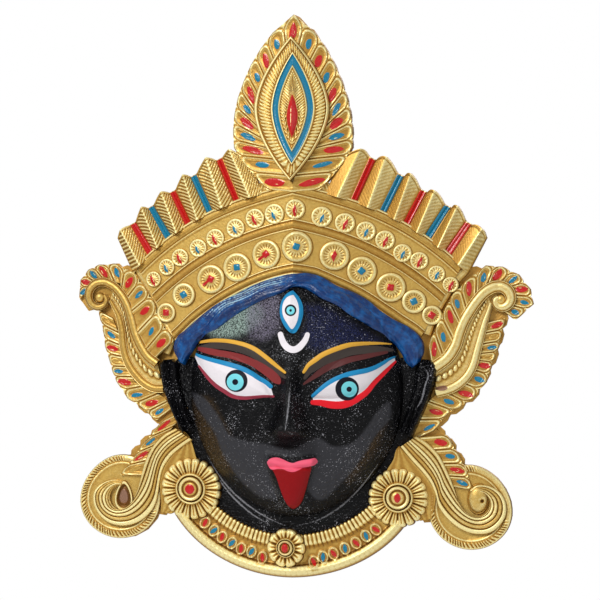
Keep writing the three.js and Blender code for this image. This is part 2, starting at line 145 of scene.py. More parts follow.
def lerp(a: Field | float, b: Field | float, share: Field | float) -> Field | float:
    """The value a share of the way from a to b."""
    return a + (b - a) * share


def smooth(value: Field, low: float, high: float) -> Field:
    """A soft step from 0 at low to 1 at high."""
    share = np.clip((value - low) / (high - low), 0, 1)
    return share * share * (3 - 2 * share)


def swell(value: Field, middle: float, width: float) -> Field:
    """A soft rounded ridge of height 1."""
    return np.exp(-(((value - middle) / width) ** 2))


def wave(turns: Field) -> Field:
    """Rounded ribs, 1 on a whole number of turns and 0 half way between."""
    return 0.5 + 0.5 * np.cos(2 * np.pi * turns)


def bow(x: Field, z: Field) -> Field:
    """How far the back of the shell stands off the wall, in thousandths."""
    planes = [fold.out + fold.up * z - fold.across * np.abs(x) for fold in FOLDS]
    return np.maximum(0, np.minimum.reduce(planes))


def sway(x: Field, z: Field) -> tuple[Field, Field]:
    """Turns what is below the jaw a little, as the source does."""
    turn = SWAY * smooth(SWAY_TOP - z, 0, SWAY_RUN)
    below = z - SWAY_TOP
    return x * np.cos(turn) + below * np.sin(turn), SWAY_TOP - x * np.sin(turn) + below * np.cos(turn)


def unsway(x: Field, z: Field) -> tuple[Field, Field]:
    """The place on the carving of a turned point."""
    guess = np.array([x, z], float)
    for _ in range(4):
        turned = np.array(sway(guess[0], guess[1]))
        guess = guess + (np.array([x, z]) - turned)
    return guess[0], guess[1]


def place(x: Field, z: Field, rise: Field) -> Field:
    """Points of the model in metres, for places on the carving and a rise in millimetres."""
    turned_x, turned_z = sway(x, z)
    y = -(bow(x, z) * MIL + rise)
    return np.stack([turned_x * MIL, y, turned_z * MIL - LUG_UP], axis=-1) / 1000


def arch(x: Field, band: Field | float) -> Field:
    """Height of the crown's pointed arches: band 0 is the upper edge and band 1 the lower one."""
    a = np.abs(x)
    upper = 0.247 * a + 2.9e-6 * a**3
    lower = 0.122 * a + 0.0018 * a**2
    return 701 - 159 * band - lerp(upper, lower, band)


def dip(x: Field) -> Field:
    """How much lower the crown's lower edge lies than its arches."""
    return np.interp(x, [-215, -190, -100, 0, 40, 75, 120, 160, 190, 215], [7, 4, 4, 2, 0, 5, 7, 10, 9, 4])


def leaf(share: Field) -> Field:
    """Half width of a pointed lens, as a share, at a share of its half length."""
    return 1 - np.abs(share) ** 1.75


def along(points: Sequence[Point], at: Field) -> tuple[Field, Field]:
    """The place at a number of points along a list, which runs on past both ends."""
    table = np.array(points, float)
    first = np.clip(np.floor(at), 0, len(table) - 2).astype(int)
    share = (at - first)[..., None]
    found = table[first] * (1 - share) + table[first + 1] * share
    return found[..., 0], found[..., 1]


class Path:
    """A smooth line through points, read by the share of its length."""

    def __init__(self, points: Sequence[Point], steps: int = 24) -> None:
        """Samples the line.

        Args:
            points: the [x, z] places it passes through.
            steps: samples between each two points.
        """
        given = np.array(points, float)
        ends = [2 * given[0] - given[1], *given, 2 * given[-1] - given[-2]]
        run = []
        for before, start, stop, after in zip(ends, ends[1:], ends[2:], ends[3:]):
            corners = (before, start, stop, after)
            first, middle, last = (max(np.linalg.norm(b - a), 1e-6) for a, b in zip(corners, corners[1:]))
            step = stop - start
            pull_in = (start - before) / first - (stop - before) / (first + middle) + step / middle
            pull_out = step / middle - (after - start) / (middle + last) + (after - stop) / last
            t = np.arange(steps)[:, None] / steps
            a, b = pull_in * middle, pull_out * middle
            run.append(start + a * t + (3 * step - 2 * a - b) * t**2 + (a + b - 2 * step) * t**3)
        self.samples = np.concatenate([*run, given[-1:]])
        steps_long = np.linalg.norm(np.diff(self.samples, axis=0), axis=1)
        self.reached = np.concatenate([[0], np.cumsum(steps_long)])
        self.length = float(self.reached[-1])

    def at(self, share: Field) -> tuple[Field, Field]:
        """The place at a share of the length."""
        far = np.clip(share, 0, 1) * self.length
        x, z = (np.interp(far, self.reached, places) for places in self.samples.T)
        return x, z

    def way(self, share: Field) -> tuple[Field, Field]:
        """The unit direction along the line at a share of the length."""
        step = 0.004
        x0, z0 = self.at(np.clip(share - step, 0, 1))
        x1, z1 = self.at(np.clip(share + step, 0, 1))
        size = np.hypot(x1 - x0, z1 - z0) + 1e-9
        return (x1 - x0) / size, (z1 - z0) / size


def blurred(values: Field, reach: int, axis: int) -> Field:
    """A running mean along one axis of a grid, reach cells to each side."""
    if reach < 1:
        return values
    rim = [(0, 0), (0, 0)]
    rim[axis] = (reach + 1, reach)
    sums = np.cumsum(np.pad(values, rim, mode="edge"), axis=axis)
    size = 2 * reach + 1
    top = np.take(sums, np.arange(size, sums.shape[axis]), axis=axis)
    bottom = np.take(sums, np.arange(0, sums.shape[axis] - size), axis=axis)
    return (top - bottom) / size


@dataclass
class Lay:
    """How a sheet lies: its places on the carving, its rise, and its marks as signed distances in mm."""

    x: Field
    z: Field
    rise: Field
    coats: dict[Coat, Field] = field(default_factory=dict)


Laying = Callable[[Field, Field], Lay]


def put(name: str, mesh: bmesh.types.BMesh, finish: bpy.types.Material) -> bpy.types.Object:
    """Makes an object of a mesh and places it in the scene.

    Args:
        name: the object's name.
        mesh: the mesh, which is used up.
        finish: the material of all its faces.

    Returns:
        The object.
    """
    data = bpy.data.meshes.new(name)
    mesh.to_mesh(data)
    mesh.free()
    data.materials.append(finish)
    made = bpy.data.objects.new(name, data)
    bpy.context.scene.collection.objects.link(made)
    return made


def stand(name: str, mesh: bmesh.types.BMesh, finish: bpy.types.Material) -> bpy.types.Mesh:
    """Makes a piece of a mesh, which stands for the part and rides on its body.

    Args:
        name: the piece's name.
        mesh: the mesh, which is used up.
        finish: the material of all its faces.

    Returns:
        The piece's mesh.
    """
    made = put(name, mesh, finish)
    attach(made, "root")
    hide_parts(NODE)
    LOG.info("%s: %d faces", name, len(made.data.polygons))
    return made.data


class Casting:
    """One named piece of the mask, gathered from carved sheets."""

    HOLLOW_REACH = 0.8  # distance over which a groove is told from its surroundings, in mm
    SHARP = math.radians(55)  # past this angle an edge is drawn sharp

    def __init__(self, name: str, finish: bpy.types.Material, coats: Iterable[Enum] = Coat) -> None:
        """Starts an empty piece.

        Args:
            name: the piece's name.
            finish: the material of all its faces.
            coats: the marks that its sheets carry, besides the hollows.
        """
        self.name = name
        self.finish = finish
        self.mesh = bmesh.new()
        kinds = self.mesh.verts.layers.float
        self.rises = kinds.new("rise")
        self.layers = {coat: kinds.new(coat.value) for coat in dict.fromkeys([*coats, Coat.HOLLOW])}

    def sheet(
        self,
        across: int,
        along_: int,
        lay: Laying,
        back: float = BURIED,
        welded: bool = False,
        lined: Callable[[Field, Field], Field] | None = None,
    ) -> None:
        """Adds a carved sheet with its rim and a plain back.

        Args:
            across: faces in the u direction.
            along_: faces in the v direction.
            lay: gives the sheet's lay for u and v from 0 to 1.
            back: rise of the hidden back, in mm.
            welded: whether a seam or a pole closes up.
            lined: gives the rise of a back that follows the front, for places on the carving.
        """
        verts = bmesh.ops.create_grid(self.mesh, x_segments=across, y_segments=along_, size=0.5)["verts"]
        flat = np.array([(v.co.x, v.co.y) for v in verts]) + 0.5
        column = np.rint(flat[:, 0] * across).astype(int)
        row = np.rint(flat[:, 1] * along_).astype(int)
        u, v = np.meshgrid(np.linspace(0, 1, across + 1), np.linspace(0, 1, along_ + 1))
        laid = lay(u, v)
        rise = np.broadcast_to(laid.rise, u.shape)
        points = place(np.broadcast_to(laid.x, u.shape), np.broadcast_to(laid.z, u.shape), rise)
        self.write(verts, points[row, column], rise[row, column])
        laid.coats[Coat.HOLLOW] = laid.coats.get(Coat.HOLLOW, 0) + self.hollows(points, rise, across, along_)
        for coat, layer in self.layers.items():
            self.fill(verts, layer, laid.coats.get(coat, np.full(u.shape, NONE)), u.shape, row, column)
        if welded:
            bmesh.ops.remove_doubles(self.mesh, verts=verts, dist=2e-6)
            verts = [v for v in verts if v.is_valid]
        if lined:
            self.line(verts, lined)
        else:
            self.close(verts, back)

    def write(self, verts: list, points: Field, rises: Field) -> None:
        """Moves vertices to their points and notes their rises."""
        for vert, point, rise in zip(verts, points.tolist(), rises.tolist()):
            vert.co = point
            vert[self.rises] = rise

    @staticmethod
    def fill(verts: list, layer, values: Field, shape: tuple, row: Field, column: Field) -> None:
        """Writes one attribute of a sheet's vertices."""
        listed = np.broadcast_to(values, shape)[row, column].tolist()
        for vert, value in zip(verts, listed):
            vert[layer] = value

    def hollows(self, points: Field, rise: Field, across: int, along_: int) -> Field:
        """How far each point lies below its surroundings, in mm, used as painted shade in grooves and, where
        negative on an edge or a ridge, as painted highlight.
        """
        level = rise
        for axis, count in ((1, across), (0, along_)):
            steps = np.linalg.norm(np.diff(points[..., [0, 2]], axis=axis), axis=-1) * 1000
            cell = max(float(np.median(steps)), 0.05)
            reach = int(min(round(self.HOLLOW_REACH / cell), count // 2))
            for _ in range(2):
                level = blurred(level, max(reach, 1), axis)
        return level - rise

    def line(self, verts: list, lined: Callable[[Field, Field], Field]) -> None:
        """Gives a sheet a back of its own, which follows the front.

        Args:
            verts: the sheet's vertices.
            lined: the rise of the back at a place on the carving.
        """
        faces = list({face for vert in verts for face in vert.link_faces})
        edges = list({edge for face in faces for edge in face.edges})
        geometry = [*faces, *edges, *verts]
        drawn = bmesh.ops.extrude_face_region(self.mesh, geom=geometry, use_keep_orig=True)["geom"]
        backs = [part for part in drawn if isinstance(part, bmesh.types.BMVert)]
        points = np.array([vert.co for vert in backs]) * 1000
        x, z = unsway(points[:, 0] / MIL, (points[:, 2] + LUG_UP) / MIL)
        y = -(bow(x, z) * MIL + lined(x, z)) / 1000
        for vert, value in zip(backs, y.tolist()):
            vert.co.y = value

    def close(self, verts: list, back: float) -> None:
        """Draws the rim of a sheet back into the shell and caps it.

        Args:
            verts: the sheet's vertices.
            back: rise of the cap, in mm.
        """
        rim = {edge for vert in verts for edge in vert.link_edges if edge.is_boundary}
        drawn = bmesh.ops.extrude_edge_only(self.mesh, edges=list(rim))["geom"]
        low = [part for part in drawn if isinstance(part, bmesh.types.BMVert)]
        for vert in low:
            vert.co.y += (vert[self.rises] - back) / 1000
            vert[self.rises] = back
            # Painted shade on the rim, where the sheet drops into the shell.
            vert[self.layers[Coat.HOLLOW]] = 0.6
        edges = [part for part in drawn if isinstance(part, bmesh.types.BMEdge) and part.is_boundary]
        for cap in bmesh.ops.holes_fill(self.mesh, edges=edges, sides=0)["faces"]:
            spread = [vert.co.x for vert in cap.verts]
            if min(spread) < -0.001 and max(spread) > 0.001:
                self.crease(cap, back)

    def crease(self, cap: bmesh.types.BMFace, back: float) -> None:
        """Folds a cap along the middle of the mask, as the shell is folded."""
        geometry = [cap, *cap.edges, *cap.verts]
        cut = bmesh.ops.bisect_plane(
            self.mesh, geom=geometry, dist=1e-7, plane_co=(0, 0, 0), plane_no=(1, 0, 0)
        )["geom_cut"]
        for part in cut:
            if isinstance(part, bmesh.types.BMVert):
                x, z = unsway(np.array(part.co.x * 1000 / MIL), np.array((part.co.z * 1000 + LUG_UP) / MIL))
                part.co.y = -float(bow(x, z) * MIL + back) / 1000

    def done(self) -> None:
        """Finishes the piece."""
        self.mesh.verts.layers.float.remove(self.rises)
        bmesh.ops.recalc_face_normals(self.mesh, faces=self.mesh.faces)
        data = stand(self.name, self.mesh, self.finish)
        data.shade_smooth()
        data.set_sharp_from_angle(angle=self.SHARP)


@dataclass(frozen=True)
class Wire:
    """A node's output that takes part in sums."""

    bench: "Bench"
    socket: bpy.types.NodeSocket

    def maths(self, operation: str, *values: "Wire | float") -> "Wire":
        """Adds a Math node that reads the values."""
        return self.bench.node("ShaderNodeMath", dict(enumerate(values)), operation=operation)

    def __add__(self, other: "Wire | float") -> "Wire":
        """The sum."""
        return self.maths("ADD", self, other)

    def __sub__(self, other: "Wire | float") -> "Wire":
        """The difference."""
        return self.maths("SUBTRACT", self, other)

    def __rsub__(self, other: float) -> "Wire":
        """The difference."""
        return self.maths("SUBTRACT", other, self)

    def __mul__(self, other: "Wire | float") -> "Wire":
        """The product."""
        return self.maths("MULTIPLY", self, other)

    __radd__ = __add__
    __rmul__ = __mul__

    def ramp(self, low: float, high: float) -> "Wire":
        """A soft step from 0 at low to 1 at high."""
        inputs = {"Value": self, "From Min": low, "From Max": high, "To Min": 0.0, "To Max": 1.0}
        return self.bench.node("ShaderNodeMapRange", inputs, "Result", interpolation_type="SMOOTHSTEP")

    def most(self, other: "Wire | float") -> "Wire":
        """The larger of two values."""
        return self.maths("MAXIMUM", self, other)


Colour = tuple[float, float, float]


def shade(red: int, green: int, blue: int) -> Colour:
    """A paint's colour as light, from its values on a screen from 0 to 255."""
    parts = [value / 255 for value in (red, green, blue)]
    return tuple(part / 12.92 if part < 0.04045 else ((part + 0.055) / 1.055) ** 2.4 for part in parts)


class Bench:
    """Where a finish is put together: a node tree and its shader."""

    def __init__(self, name: str) -> None:
        """Makes a material with a bare shader."""
        self.material = bpy.data.materials.new(name)
        self.material.use_nodes = True
        self.tree = self.material.node_tree
        self.shader = next(n for n in self.tree.nodes if n.type == "BSDF_PRINCIPLED")

    def node(self, kind: str, inputs: dict | None = None, output: str | int = 0, **settings: object) -> Wire:
        """Adds a node.

        Args:
            kind: the node's type.
            inputs: values or wires of its sockets, by name or number.
            output: the output that is wanted.
            **settings: the node's own settings, which are set first.

        Returns:
            The wanted output.
        """
        made = self.tree.nodes.new(kind)
        for word, value in settings.items():
            setattr(made, word, value)
        for word, value in (inputs or {}).items():
            self.feed(made.inputs[word], value)
        return Wire(self, made.outputs[output])

    def feed(self, socket: bpy.types.NodeSocket, value: object) -> None:
        """Links a wire to a socket, or sets the socket's value."""
        if isinstance(value, Wire):
            self.tree.links.new(value.socket, socket)
        elif isinstance(value, tuple) and socket.type == "RGBA":
            socket.default_value = (*value, 1.0)
        else:
            socket.default_value = value

    def mark(self, coat: Coat | str) -> Wire:
        """The float attribute of a coat."""
        word = coat.value if isinstance(coat, Enum) else coat
        return self.node("ShaderNodeAttribute", output="Fac", attribute_name=word)

    def noise(self, scale: float, detail: float = 3.0, rough: float = 0.55) -> Wire:
        """Noise over the object, from 0 to 1."""
        where = self.node("ShaderNodeTexCoord", output="Object")
        inputs = {"Vector": where, "Scale": scale, "Detail": detail, "Roughness": rough}
        return self.node("ShaderNodeTexNoise", inputs, "Fac")

    def mix(self, share: Wire | float, low: Wire | Colour, high: Wire | Colour) -> Wire:
        """Mixes two colours."""
        made = self.tree.nodes.new("ShaderNodeMix")
        made.data_type = "RGBA"
        sockets = {s.identifier: s for s in made.inputs}
        self.feed(sockets["Factor_Float"], share)
        self.feed(sockets["A_Color"], low)
        self.feed(sockets["B_Color"], high)
        return Wire(self, next(s for s in made.outputs if s.identifier == "Result_Color"))

    def bump(self, height: Wire, depth: float) -> Wire:
        """A normal that is roughened by a height.

        Args:
            height: the height, from 0 to 1.
            depth: how deep that is, in metres.
        """
        inputs = {"Height": height, "Distance": depth, "Strength": 1.0}
        return self.node("ShaderNodeBump", inputs, "Normal")

    def dress(self, **inputs: object) -> bpy.types.Material:
        """Feeds the shader's sockets, named with underscores for spaces."""
        for word, value in inputs.items():
            self.feed(self.shader.inputs[word.replace("_", " ").title().replace("Ior", "IOR")], value)
        return self.material


@dataclass(frozen=True)
class Gilding:
    """Gold paint over brass, darkened in the grooves as painted shade and lightened on ridges and edges as
    painted highlight, with painted glints and enamel marks in red and teal.
    """

    name: str = "gilding"
    wax: Colour = shade(118, 78, 26)
    ochre: Colour = shade(176, 131, 53)
    gold: Colour = shade(205, 168, 84)
    cream: Colour = shade(250, 234, 168)
    red: Colour = shade(186, 20, 20)
    teal: Colour = shade(8, 116, 150)
    brown: Colour = shade(150, 112, 90)

    def made(self) -> bpy.types.Material:
        """Puts the finish together."""
        bench = Bench(self.name)
        grain = bench.noise(900.0, 2.0)
        patch = bench.noise(60.0, 4.0)
        # Painted light: this mark is painted shade in grooves and painted highlight on ridges and edges, and
        # also the tone of some parts; below, cream is the painted highlight, and ochre and deep shade are the
        # painted shade.
        hollow = bench.mark(Coat.HOLLOW) + (grain - 0.5) * 0.22 + (patch - 0.5) * 0.16
        red = bench.mark(Coat.RED) + (grain - 0.5) * 0.25
        teal = bench.mark(Coat.TEAL) + (grain - 0.5) * 0.25
        tone = bench.mix(hollow.ramp(-0.28, 0.02), self.cream, self.gold)
        tone = bench.mix(hollow.ramp(-0.02, 0.2), tone, self.ochre)
        tone = bench.mix(hollow.ramp(0.2, 0.62), tone, self.wax)
        worn = bench.mark(Coat.WORN).ramp(-0.15, 0.15)
        red_share = red.ramp(-0.06, 0.06)
        teal_share = teal.ramp(-0.06, 0.06)
        # Painted highlight: glints on the enamel and lines along ridges.
        pale = (bench.mark(Coat.PALE) + (grain - 0.5) * 0.3).ramp(-0.05, 0.05)
        tone = bench.mix(worn, tone, self.brown)
        tone = bench.mix(red_share, tone, self.red)
        tone = bench.mix(teal_share, tone, self.teal)
        tone = bench.mix(pale, tone, self.cream)
        painted = red_share.most(teal_share)
        bare = 1 - painted
        return bench.dress(
            base_color=tone,
            metallic=bare * 0.55,
            roughness=0.46 - painted * 0.18 + (patch - 0.5) * 0.14,
            normal=bench.bump(grain, 0.00012),
        )


@dataclass(frozen=True)
class BackBrass:
    """The plain cast back: dull brown brass, with gold paint where the front of the shell shows."""

    name: str = "back_brass"
    dark: Colour = shade(112, 80, 30)
    light: Colour = shade(176, 134, 58)
    gold: Colour = shade(190, 146, 66)

    def made(self) -> bpy.types.Material:
        """Puts the finish together."""
        bench = Bench(self.name)
        cast = bench.noise(260.0, 5.0, 0.6)
        patch = bench.noise(34.0, 3.0)
        tone = bench.mix(patch.ramp(0.3, 0.7), self.dark, self.light)
        front = bench.mark("front")
        return bench.dress(
            base_color=bench.mix(front, tone, self.gold),
            metallic=0.8 - front * 0.3,
            roughness=0.5 + (cast - 0.5) * 0.3,
            normal=bench.bump(cast, 0.0004),
        )


@dataclass
class FaceForm:
    """The dome of the face inside its egg-shaped outline, as the part's source has it."""

    middle: float = 330.0
    wide: float = 190.0
    down: float = 218.0
    up: float = 200.0
    dome: float = 15.0
    edge: float = 5.5
    side: float = 3.0
    crown: float = 0.62
    soft: float = 60.0
    brow: float = 2.2
    jaw: float = 1.9

    def radius(self, x: Field, z: Field) -> Field:
        """Radius of the outline in the direction of a place."""
        angle = np.arctan2(x, z - self.middle)
        up = np.cos(angle)
        long = np.where(up > 0, self.up, self.down)
        power = np.where(up > 0, self.brow, self.jaw)
        spread = (np.abs(np.sin(angle)) / self.wide) ** power + (np.abs(up) / long) ** power
        return spread ** (-1 / power)

    def height(self, x: Field, z: Field) -> Field:
        """Rise of the dome in mm."""
        share = np.clip(np.hypot(x, z - self.middle) / self.radius(x, z), 0, 1)
        ease = FOLDS[1].across * MIL * (np.hypot(x, self.soft) - np.abs(x))
        return self.edge + (self.dome - ease) * (1 - share**self.side) ** self.crown


FACE = FaceForm()


class Canvas:
    """Signed distances of painted marks, on the plane seen from a little to the right of the middle.

    The plane is set out in 567ths of the height, right and down from a corner above and left of the mask.
    """

    DOTS = 1 / (DOT * MIL)
    LEFT = 293.0
    FOOT = 581.0
    FORWARD = 29.0
    MIDDLE = 300.0
    AWAY = 2600.0  # distance that the mask is seen from, in mm
    TURN = math.radians(8)

    def __init__(self, x: Field, z: Field, rise: Field) -> None:
        """Finds where places on the carving are seen."""
        points = place(x, z, rise) * 1000
        behind = points[..., 1] + self.FORWARD
        right = points[..., 0] * math.cos(self.TURN) + behind * math.sin(self.TURN)
        far = 1 + (behind * math.cos(self.TURN) - points[..., 0] * math.sin(self.TURN)) / self.AWAY
        level = self.FOOT - (points[..., 2] + LUG_UP) * self.DOTS
        self.a = self.LEFT + right * self.DOTS / far
        self.b = self.MIDDLE + (level - self.MIDDLE) / far

    def away(self, samples: Field, halves: Field) -> Field:
        """Signed distance inside a line of varying half width, in dots."""
        best = np.full(self.a.shape, 1e3)
        for (x0, y0), (x1, y1), h0, h1 in zip(samples, samples[1:], halves, halves[1:]):
            way_x, way_y = x1 - x0, y1 - y0
            size = way_x**2 + way_y**2 + 1e-12
            share = np.clip(((self.a - x0) * way_x + (self.b - y0) * way_y) / size, 0, 1)
            gap = np.hypot(self.a - x0 - share * way_x, self.b - y0 - share * way_y)
            best = np.minimum(best, gap - lerp(h0, h1, share))
        return -best

    def line(self, points: Sequence[Point], widths: Sequence[float]) -> Field:
        """Signed distance inside a brush line, in mm.

        Args:
            points: the places that it passes through.
            widths: its full width at even steps of its length.
        """
        path = Path(points, 6)
        halves = np.interp(path.reached / path.length, np.linspace(0, 1, len(widths)), widths) / 2
        return self.away(path.samples, halves) / self.DOTS

    def patch(self, points: Sequence[Point], corners: bool = False) -> Field:
        """Signed distance inside a closed outline, in mm.

        Args:
            points: the outline.
            corners: whether its points are joined by straight lines.
        """
        samples = np.array([*points, points[0]], float) if corners else Path([*points, points[0]], 5).samples
        gap = -self.away(samples, np.zeros(len(samples)))
        inside = np.zeros(self.a.shape, bool)
        for (x0, y0), (x1, y1) in zip(samples, samples[1:]):
            if y0 != y1:
                crosses = (y0 > self.b) != (y1 > self.b)
                inside ^= crosses & (self.a < x0 + (self.b - y0) * (x1 - x0) / (y1 - y0))
        return np.where(inside, gap, -gap) / self.DOTS

    def disc(self, middle: Point, radius: float) -> Field:
        """Signed distance inside a round spot, in mm."""
        return (radius - np.hypot(self.a - middle[0], self.b - middle[1])) / self.DOTS


def seen(dots: Sequence[Point], rise: float = PLATE + 2) -> list[Point]:
    """The places on the carving that are seen at dots of the canvas.

    Args:
        dots: places on the canvas.
        rise: rise of the carving there, in mm.
    """
    right, down = np.array(dots, float).T
    x = (right - Canvas.LEFT) * DOT
    z = (Canvas.FOOT - down) * DOT
    for _ in range(8):
        canvas = Canvas(x, z, rise)
        x = x + (right - canvas.a) * DOT
        z = z + (canvas.b - down) * DOT
    return list(zip(x.tolist(), z.tolist()))


@dataclass
class Petals:
    """A row of rounded petals side by side, each with a lip, a sunk cup and a painted stroke.

    Attributes:
        roots: where each petal starts.
        tips: where each petal ends.
        levels: rise of the row at even steps along it, in mm.
        paints: paint of each petal's stroke: r for red, t for teal and - for none.
        seed: seed of the strokes' unevenness.
        start: share of the petals' length where the sheet starts.
        stroke: middle of the stroke as a share of the length, its half length and half width in mm.
        notch: depth between two petals, in thousandths.
        longer: how many times as long a stroke is, at even steps along the row.
    """

    roots: Sequence[Point]
    tips: Sequence[Point]
    levels: Sequence[float]
    paints: str
    seed: int
    start: float = 0.0
    stroke: tuple[float, float, float] = (0.52, 2.4, 1.05)
    notch: float = 4.0
    longer: Sequence[float] = (1.0,)

    SQUARE: ClassVar[float] = 2.5  # how square the petals' ends are
    LIPS: ClassVar[int] = 2  # thin ridges inside a petal's edge
    PAINTS: ClassVar[dict[str, Coat]] = {"r": Coat.RED, "t": Coat.TEAL}
    RED_MORE: ClassVar[float] = 1.3  # how many times as long and as wide a red stroke is

    def __post_init__(self) -> None:
        """Draws the strokes' unevenness."""
        self.uneven = np.random.default_rng(self.seed).uniform(-1, 1, (len(self.tips), 4))

    def count(self) -> int:
        """The number of petals."""
        return len(self.tips)

    def lay(self, u: Field, v: Field) -> Lay:
        """The lay of the row: u runs along it and v out from the roots."""
        at = u * self.count() - 0.5
        petal = np.clip(np.rint(at), 0, self.count() - 1).astype(int)
        off = at - petal
        out = lerp(self.start, 1.0, v)
        root_x, root_z = along(self.roots, at)
        tip_x, tip_z = along(self.tips, at)
        long = np.hypot(tip_x - root_x, tip_z - root_z)
        near = np.clip(np.abs(2 * off), 0, 1)
        cut = self.notch * (1 - (1 - near**self.SQUARE) ** (1 / self.SQUARE))
        reach = out * (1 - cut / long * np.clip(out, 0, 1))
        x = lerp(root_x, tip_x, reach)
        z = lerp(root_z, tip_z, reach)
        wide = self.pitch(at, out) * MIL
        long = long * MIL
        rounded = np.clip(1 - 0.55 * wide / long, 0.2, 0.9)
        end = np.clip((out - rounded) / (1 - rounded), 0, 1)
        inside = (1 - (near**self.SQUARE + end**self.SQUARE) ** (1 / self.SQUARE)) * wide / 2
        level = np.interp(u, np.linspace(0, 1, len(self.levels)), self.levels)
        mark, glint = self.mark(off * wide, out * long, long, petal)
        rise = level + self.profile(inside, wide) + 0.25 * smooth(mark, -0.15, 0.35)
        painted = np.array([letter in self.PAINTS for letter in self.paints])[petal]
        # Painted shade in the sunk cup, and painted highlight near the petal's edge.
        cup = 0.16 * smooth(inside, 0.7, 1.2) - 0.08
        coats = {Coat.PALE: np.where(painted, glint, NONE), Coat.HOLLOW: cup}
        for letter, coat in self.PAINTS.items():
            mine = np.array([letter == given for given in self.paints])[petal]
            coats[coat] = np.where(mine, mark, NONE)
        return Lay(x, z, rise, coats)

    def pitch(self, at: Field, out: Field) -> Field:
        """Width of a petal square to its own line, in thousandths."""
        share = np.clip(out, 0, 1)
        sides = []
        for step in (-0.5, 0.5):
            ends = zip(along(self.roots, at + step), along(self.tips, at + step))
            sides.append([lerp(root, tip, share) for root, tip in ends])
        before, after = sides
        root, tip = along(self.roots, at), along(self.tips, at)
        way = [tip[0] - root[0], tip[1] - root[1]]
        cross = (after[0] - before[0]) * way[1] - (after[1] - before[1]) * way[0]
        return np.abs(cross) / np.hypot(*way)

    def profile(self, inside: Field, wide: Field) -> Field:
        """Rise at a distance inside the petal's edge, in mm."""
        lip = np.minimum(0.62, wide * 0.13)
        rise = -0.55 * swell(inside, 0, 0.3) - 0.35 * smooth(inside - lip, 0.2, 0.9)
        for number in range(self.LIPS):
            rise = rise + (0.42 - 0.1 * number) * swell(inside, lip * (1 + 1.55 * number), 0.24)
        return rise

    def mark(self, across: Field, far: Field, long: Field, petal: Field) -> tuple[Field, Field]:
        """Signed distances inside the painted stroke and inside the glint on it, a painted highlight, in mm.

        Args:
            across: distance from the petal's middle line.
            far: distance from its root.
            long: the petal's length.
            petal: the petal's number.
        """
        middle, half, wide = self.stroke
        red = np.array([letter == "r" for letter in self.paints])[petal]
        shift = self.uneven[petal]
        lean = 0.14 * shift[..., 0]
        along_ = far - long * (middle + 0.03 * shift[..., 1])
        more = np.where(red, self.RED_MORE, 1)
        half_wide = wide * (1 + 0.15 * shift[..., 2]) * more
        halves = np.interp(petal, np.linspace(0, self.count() - 1, len(self.longer)), self.longer) * half
        half_long = np.minimum(halves * (1 + 0.12 * shift[..., 3]) * more, 0.42 * long)
        bent = across - lean * along_
        mark = half_wide * (1 - np.abs(along_ / half_long) ** 2.6) - np.abs(bent)
        off = np.abs(bent - 0.45 * half_wide * np.sign(shift[..., 1]))
        glint = 0.1 - off - 0.3 * smooth(np.abs(along_) / half_long, 0.2, 0.5)
        return mark, np.where(shift[..., 3] > -0.2, glint, NONE)


def rings(u: Field, v: Field, rows: Sequence[tuple[float, ...]]) -> list[Field]:
    """Columns of a table of rows, read at v from 0 to 1 by row number."""
    table = np.array(rows, float)
    at = v * (len(table) - 1)
    return [np.interp(at, np.arange(len(table)), table[:, k]) for k in range(table.shape[1])]


